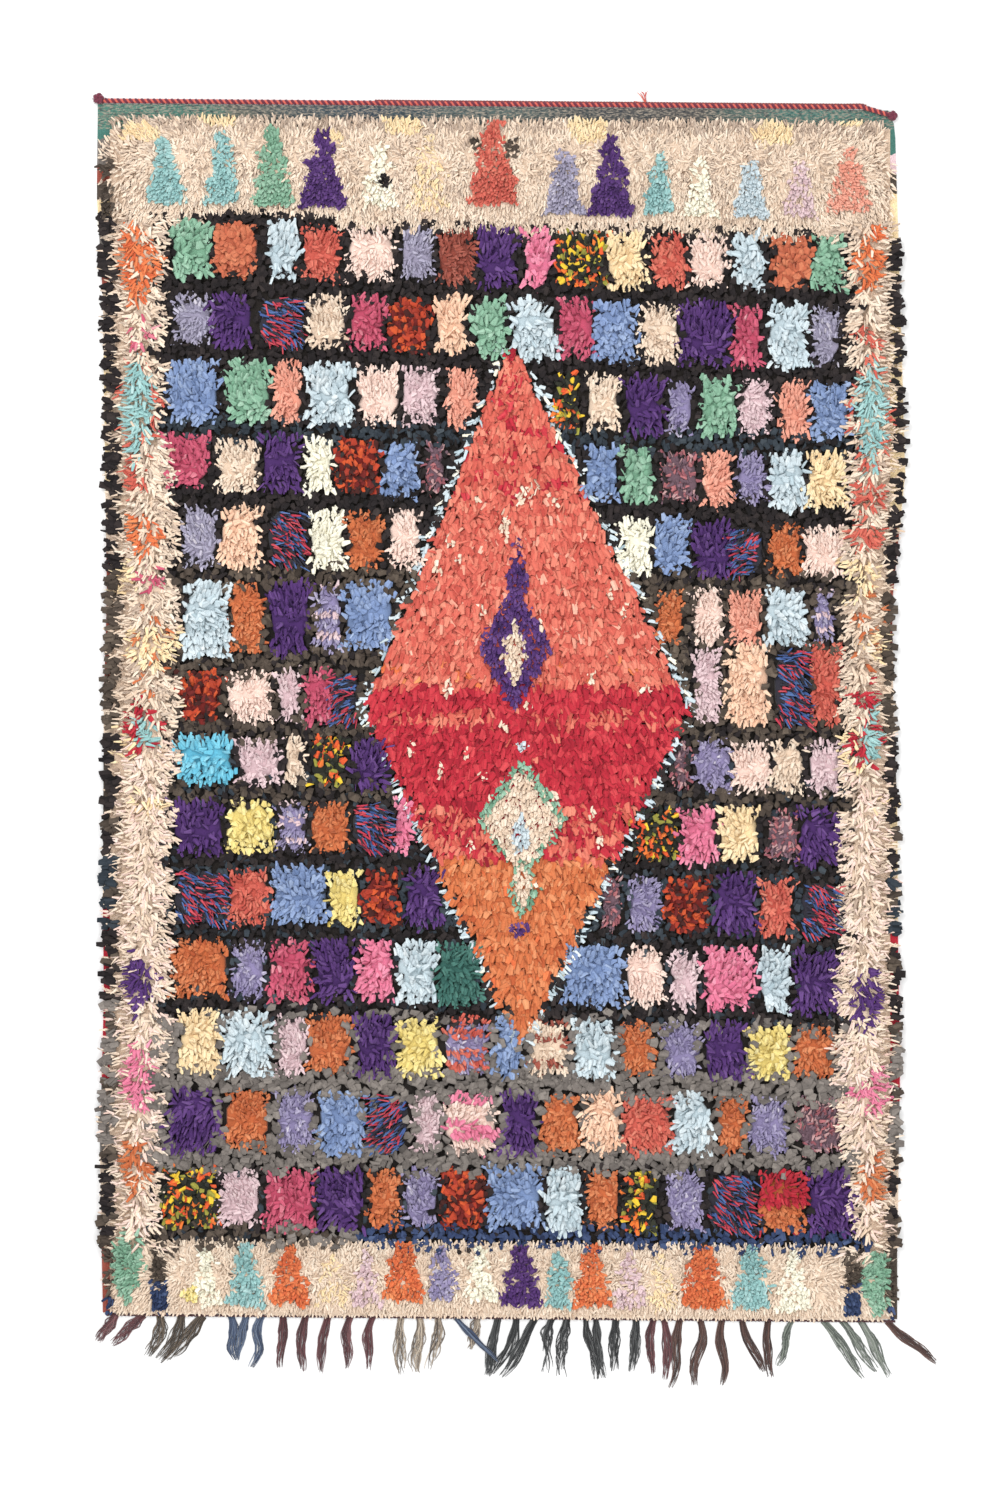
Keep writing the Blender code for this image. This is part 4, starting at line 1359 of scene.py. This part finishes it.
def cord_centre(distance):
    """Middle of the cord, whose far end turns onto the cloth's corner."""
    straight = CORD_TURN_X - CORD_LEFT_X
    turn = np.array((CORD_TURN_X, cord_line(CORD_TURN_X)))
    tail = np.array(CORD_TAIL)
    past = np.maximum(0, distance - straight)[:, None]
    line_x = CORD_LEFT_X + np.minimum(distance, straight)
    place = np.column_stack([line_x, cord_line(line_x)])
    place += (tail - turn) / np.linalg.norm(tail - turn) * past
    lift = (CLOTH_THICKNESS + 0.8 * MM) * smooth((distance - straight + CORD_LIFT_RUN) / CORD_LIFT_RUN)
    return np.column_stack([place, CORD_LIFT + lift])


def cord_length():
    tail = np.array(CORD_TAIL) - (CORD_TURN_X, cord_line(CORD_TURN_X))
    return CORD_TURN_X - CORD_LEFT_X + float(np.linalg.norm(tail))


def twisted_strand(start, end, phase, offset, spread, radius):
    """One strand winding round the cord's middle line, shifted sideways by offset."""
    distance = np.linspace(start, end, int((end - start) / CORD_PITCH * 8))
    centre = cord_centre(distance)
    level = sideways(unit_length(np.gradient(centre, axis=0)))
    turn = distance / CORD_PITCH * math.tau + phase
    path = centre + level * (offset + spread * np.cos(turn))[:, None]
    path[:, 2] += spread * CORD_FLATTENING * np.sin(turn)
    return one_tube(path, radius, 5, 0.5)


def knot_loops(middle, radius, turns, yarn):
    """A tight ball of yarn, wound as a knotted loop."""
    steps = np.linspace(0, math.tau, 70)
    swing = radius * (0.62 + 0.34 * np.cos(turns * steps))
    rise = 0.42 * radius * np.sin(turns * steps)
    path = middle + np.column_stack([swing * np.cos(2 * steps), swing * np.sin(2 * steps), rise])
    return one_tube(path, yarn, 6, 0.6)


def loose_yarns(root, heading, count, length, yarn, rng):
    """A few yarn ends that leave one spot and spread."""
    steps = np.linspace(0, 1, 7)
    paths = []
    for _ in range(count):
        angle = heading + rng.normal(0, 0.35)
        bend = rng.normal(0, 0.5)
        reach = length * rng.uniform(0.7, 1.1)
        turn = angle + bend * steps
        path = np.cumsum(np.column_stack([np.cos(turn), np.sin(turn)]) * reach / 6, axis=0)
        height = root[2] + 3 * MM * np.sin(steps * 2.4) * rng.uniform(0.3, 1)
        paths.append(np.column_stack([root[0] + path[:, 0], root[1] + path[:, 1], height]))
    radius = np.tile(np.interp(steps, (0, 1), (yarn, yarn * 0.6)), (count, 1))
    return (*tube_points(np.array(paths), radius, 4), rng.uniform(0.2, 0.9, count))


def make_cord():
    """The twined cord: coral over maroon, a brown pair beside it further along, and its knots."""
    rng = np.random.default_rng(SEED + 1)
    length = cord_length()
    left, right = cord_centre(np.array([4 * MM, length - 4 * MM]))
    left_knot = left + (0, 3 * MM, 4 * MM)
    coral = [twisted_strand(0, length, 0, -0.6 * MM, 2.7 * MM, 2.5 * MM)]
    maroon = [twisted_strand(0, length, math.pi, -0.6 * MM, 3.0 * MM, 3.0 * MM)]
    maroon += [knot_loops(left_knot, 9 * MM, 5, 3 * MM), knot_loops(right, 8 * MM, 5, 3 * MM)]
    maroon.append(loose_yarns(left_knot, math.radians(200), 9, 12 * MM, 0.9 * MM, rng))
    start, end = SECOND_CORD_START - CORD_LEFT_X, length - 60 * MM
    brown = [twisted_strand(start, end, phase, 3.9 * MM, 1.2 * MM, 1.5 * MM) for phase in (0, math.pi)]
    tail_root = cord_centre(np.array([YARN_TAIL_X - CORD_LEFT_X]))[0]
    coral.append(loose_yarns(tail_root, math.radians(100), 7, 27 * MM, 1.1 * MM, rng))
    return make_yarn_pieces({"cord_coral": coral, "cord_maroon": maroon, "cord_brown": brown})


def make_yarn_pieces(groups_by_name):
    return [
        settle(copies_object(name, groups, yarn_material(name)))
        for name, groups in groups_by_name.items()
    ]


def fringe_locks():
    """Every lock's root x, tip x, drop, width, bow and lift in metres, with its looseness and dye."""
    locks = []
    for count, root_first, root_last, tip_first, tip_last, *sizes, looseness, dye in FRINGE:
        for number in range(count):
            share = number / max(1, count - 1)
            root = root_first + (root_last - root_first) * share
            tip = tip_first + (tip_last - tip_first) * share
            locks.append(([value * MM for value in (root, tip, *sizes)], looseness, dye))
    return locks


def lock_yarns(lock, looseness, rng):
    """The yarns of one lock, gathered at the root, bellied, and drawn together at the tip."""
    root, tip, drop, width, bow, lift = lock
    width *= 1.4
    tip += rng.uniform(-9, 9) * MM
    drop *= rng.uniform(0.88, 1.08)
    sway, turns = rng.uniform(-7, 7) * MM, rng.uniform(3, 7)
    steps = np.linspace(0, 1, 11)
    foot = BOTTOM_END - STRIP_MIDDLE + ROW_SLOPE * root
    low, tip_width = 0.72 + 0.3 * looseness, 0.3 + 0.6 * looseness
    gather = np.interp(steps, (0, 0.12, 0.4, 0.75, 1), (0.6, 0.6, 0.95, low, tip_width))
    slope = (tip - root) / drop
    paths = []
    for number in range(LOCK_YARNS):
        place = np.clip((number + rng.uniform(0, 1)) / LOCK_YARNS * 2 - 1, -1, 1)
        share = steps * (1 - 0.4 * rng.uniform() ** 2 * (0.6 + looseness))
        wave = (0.9 + 3.0 * looseness) * MM * np.sin(steps * rng.uniform(4, 12) + rng.uniform(0, 6))
        offset = (place * width / 2 * gather + wave * smooth(steps * 2)) / math.hypot(1, slope)
        x = root + (tip - root) * share + bow * np.sin(math.pi * share) + sway * np.sin(turns * share)
        crown = (1 - place * place) * np.interp(steps, (0, 0.3, 1), (1.5, 3.2, 0.6)) * MM
        height = 1.5 * MM + crown * rng.uniform(0.3, 1) + lift * smooth(share / 0.3)
        paths.append(np.column_stack([x + offset, foot - drop * share + offset * slope, height]))
    thick = rng.uniform(0.65, 1.15, (LOCK_YARNS, 1)) * MM
    radius = thick * np.interp(steps, (0, 0.15, 0.8, 1), (1.1, 1.2, 1.0, 0.45))
    return (*tube_points(np.array(paths), radius, 4), rng.uniform(0.05, 1, LOCK_YARNS))


def strip_strand(phase):
    """One strand of the thin twined line that locks the last weft."""
    x = np.linspace(left_edge(BOTTOM_END) + 6 * MM, right_edge(BOTTOM_END) - 4 * MM, 640)
    turn = x / (14 * MM) * math.tau + phase
    y = BOTTOM_END - STRIP_MIDDLE + ROW_SLOPE * x + 1.5 * MM * np.cos(turn)
    z = 2.6 * MM + 1.0 * MM * np.sin(turn)
    return one_tube(np.column_stack([x, y, z]), 1.5 * MM, 4, 0.4)


def make_fringe():
    """Warp ends in loose locks, one piece for each dye, and the twined line at their root."""
    rng = np.random.default_rng(SEED + 2)
    by_dye = defaultdict(list, fringe_maroon=[strip_strand(0), strip_strand(math.pi)])
    for lock, looseness, dye in fringe_locks():
        by_dye[dye].append(lock_yarns(lock, looseness, rng))
    return make_yarn_pieces(by_dye)


# Stage, light and camera

CAMERA_PLACE = (0, -88 * MM, 7.083)
CAMERA_LENS = 85
FLOOR_REACH = 12


def make_stage():
    mesh = bpy.data.meshes.new("floor")
    corners = [(x * FLOOR_REACH, y * FLOOR_REACH, 0) for x, y in ((-1, -1), (1, -1), (1, 1), (-1, 1))]
    mesh.from_pydata(corners, [], [[0, 1, 2, 3]])
    mesh.materials.append(floor_material())
    add_object("floor", mesh)


def add_light(name, place, size, watts):
    """A square light that faces the origin."""
    light = bpy.data.lights.new(name, "AREA")
    light.size = size
    light.energy = watts
    obj = add_object(name, light)
    obj.location = place
    x, y, z = place
    pitch, yaw = math.atan2(z, math.hypot(x, y)), math.atan2(-y, -x)
    obj.rotation_euler = (math.pi / 2 - pitch, 0, yaw - math.pi / 2)


def make_lights():
    world = bpy.data.worlds.new("studio")
    world.use_nodes = True
    background = world.node_tree.nodes["Background"]
    background.inputs["Color"].default_value = (1, 1, 1, 1)
    background.inputs["Strength"].default_value = 1.1
    bpy.context.scene.world = world
    add_light("key", (-2.2, 2.8, 4.8), 3.0, 180)
    add_light("fill", (3.0, -2.2, 5.0), 3.6, 100)


def make_camera():
    camera = bpy.data.cameras.new("camera")
    camera.lens = CAMERA_LENS
    obj = add_object("camera", camera)
    obj.location = CAMERA_PLACE
    bpy.context.scene.camera = obj
    bpy.context.scene.view_settings.view_transform = "Standard"


def main():
    make_stage()
    make_lights()
    make_camera()
    ground = make_ground()
    pile = make_pile()
    cord = make_cord()
    fringe = make_fringe()
    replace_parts(ground, "rug")
    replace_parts(cord[0], "edge_cord")
    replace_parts(fringe[0], "fringe")


main()
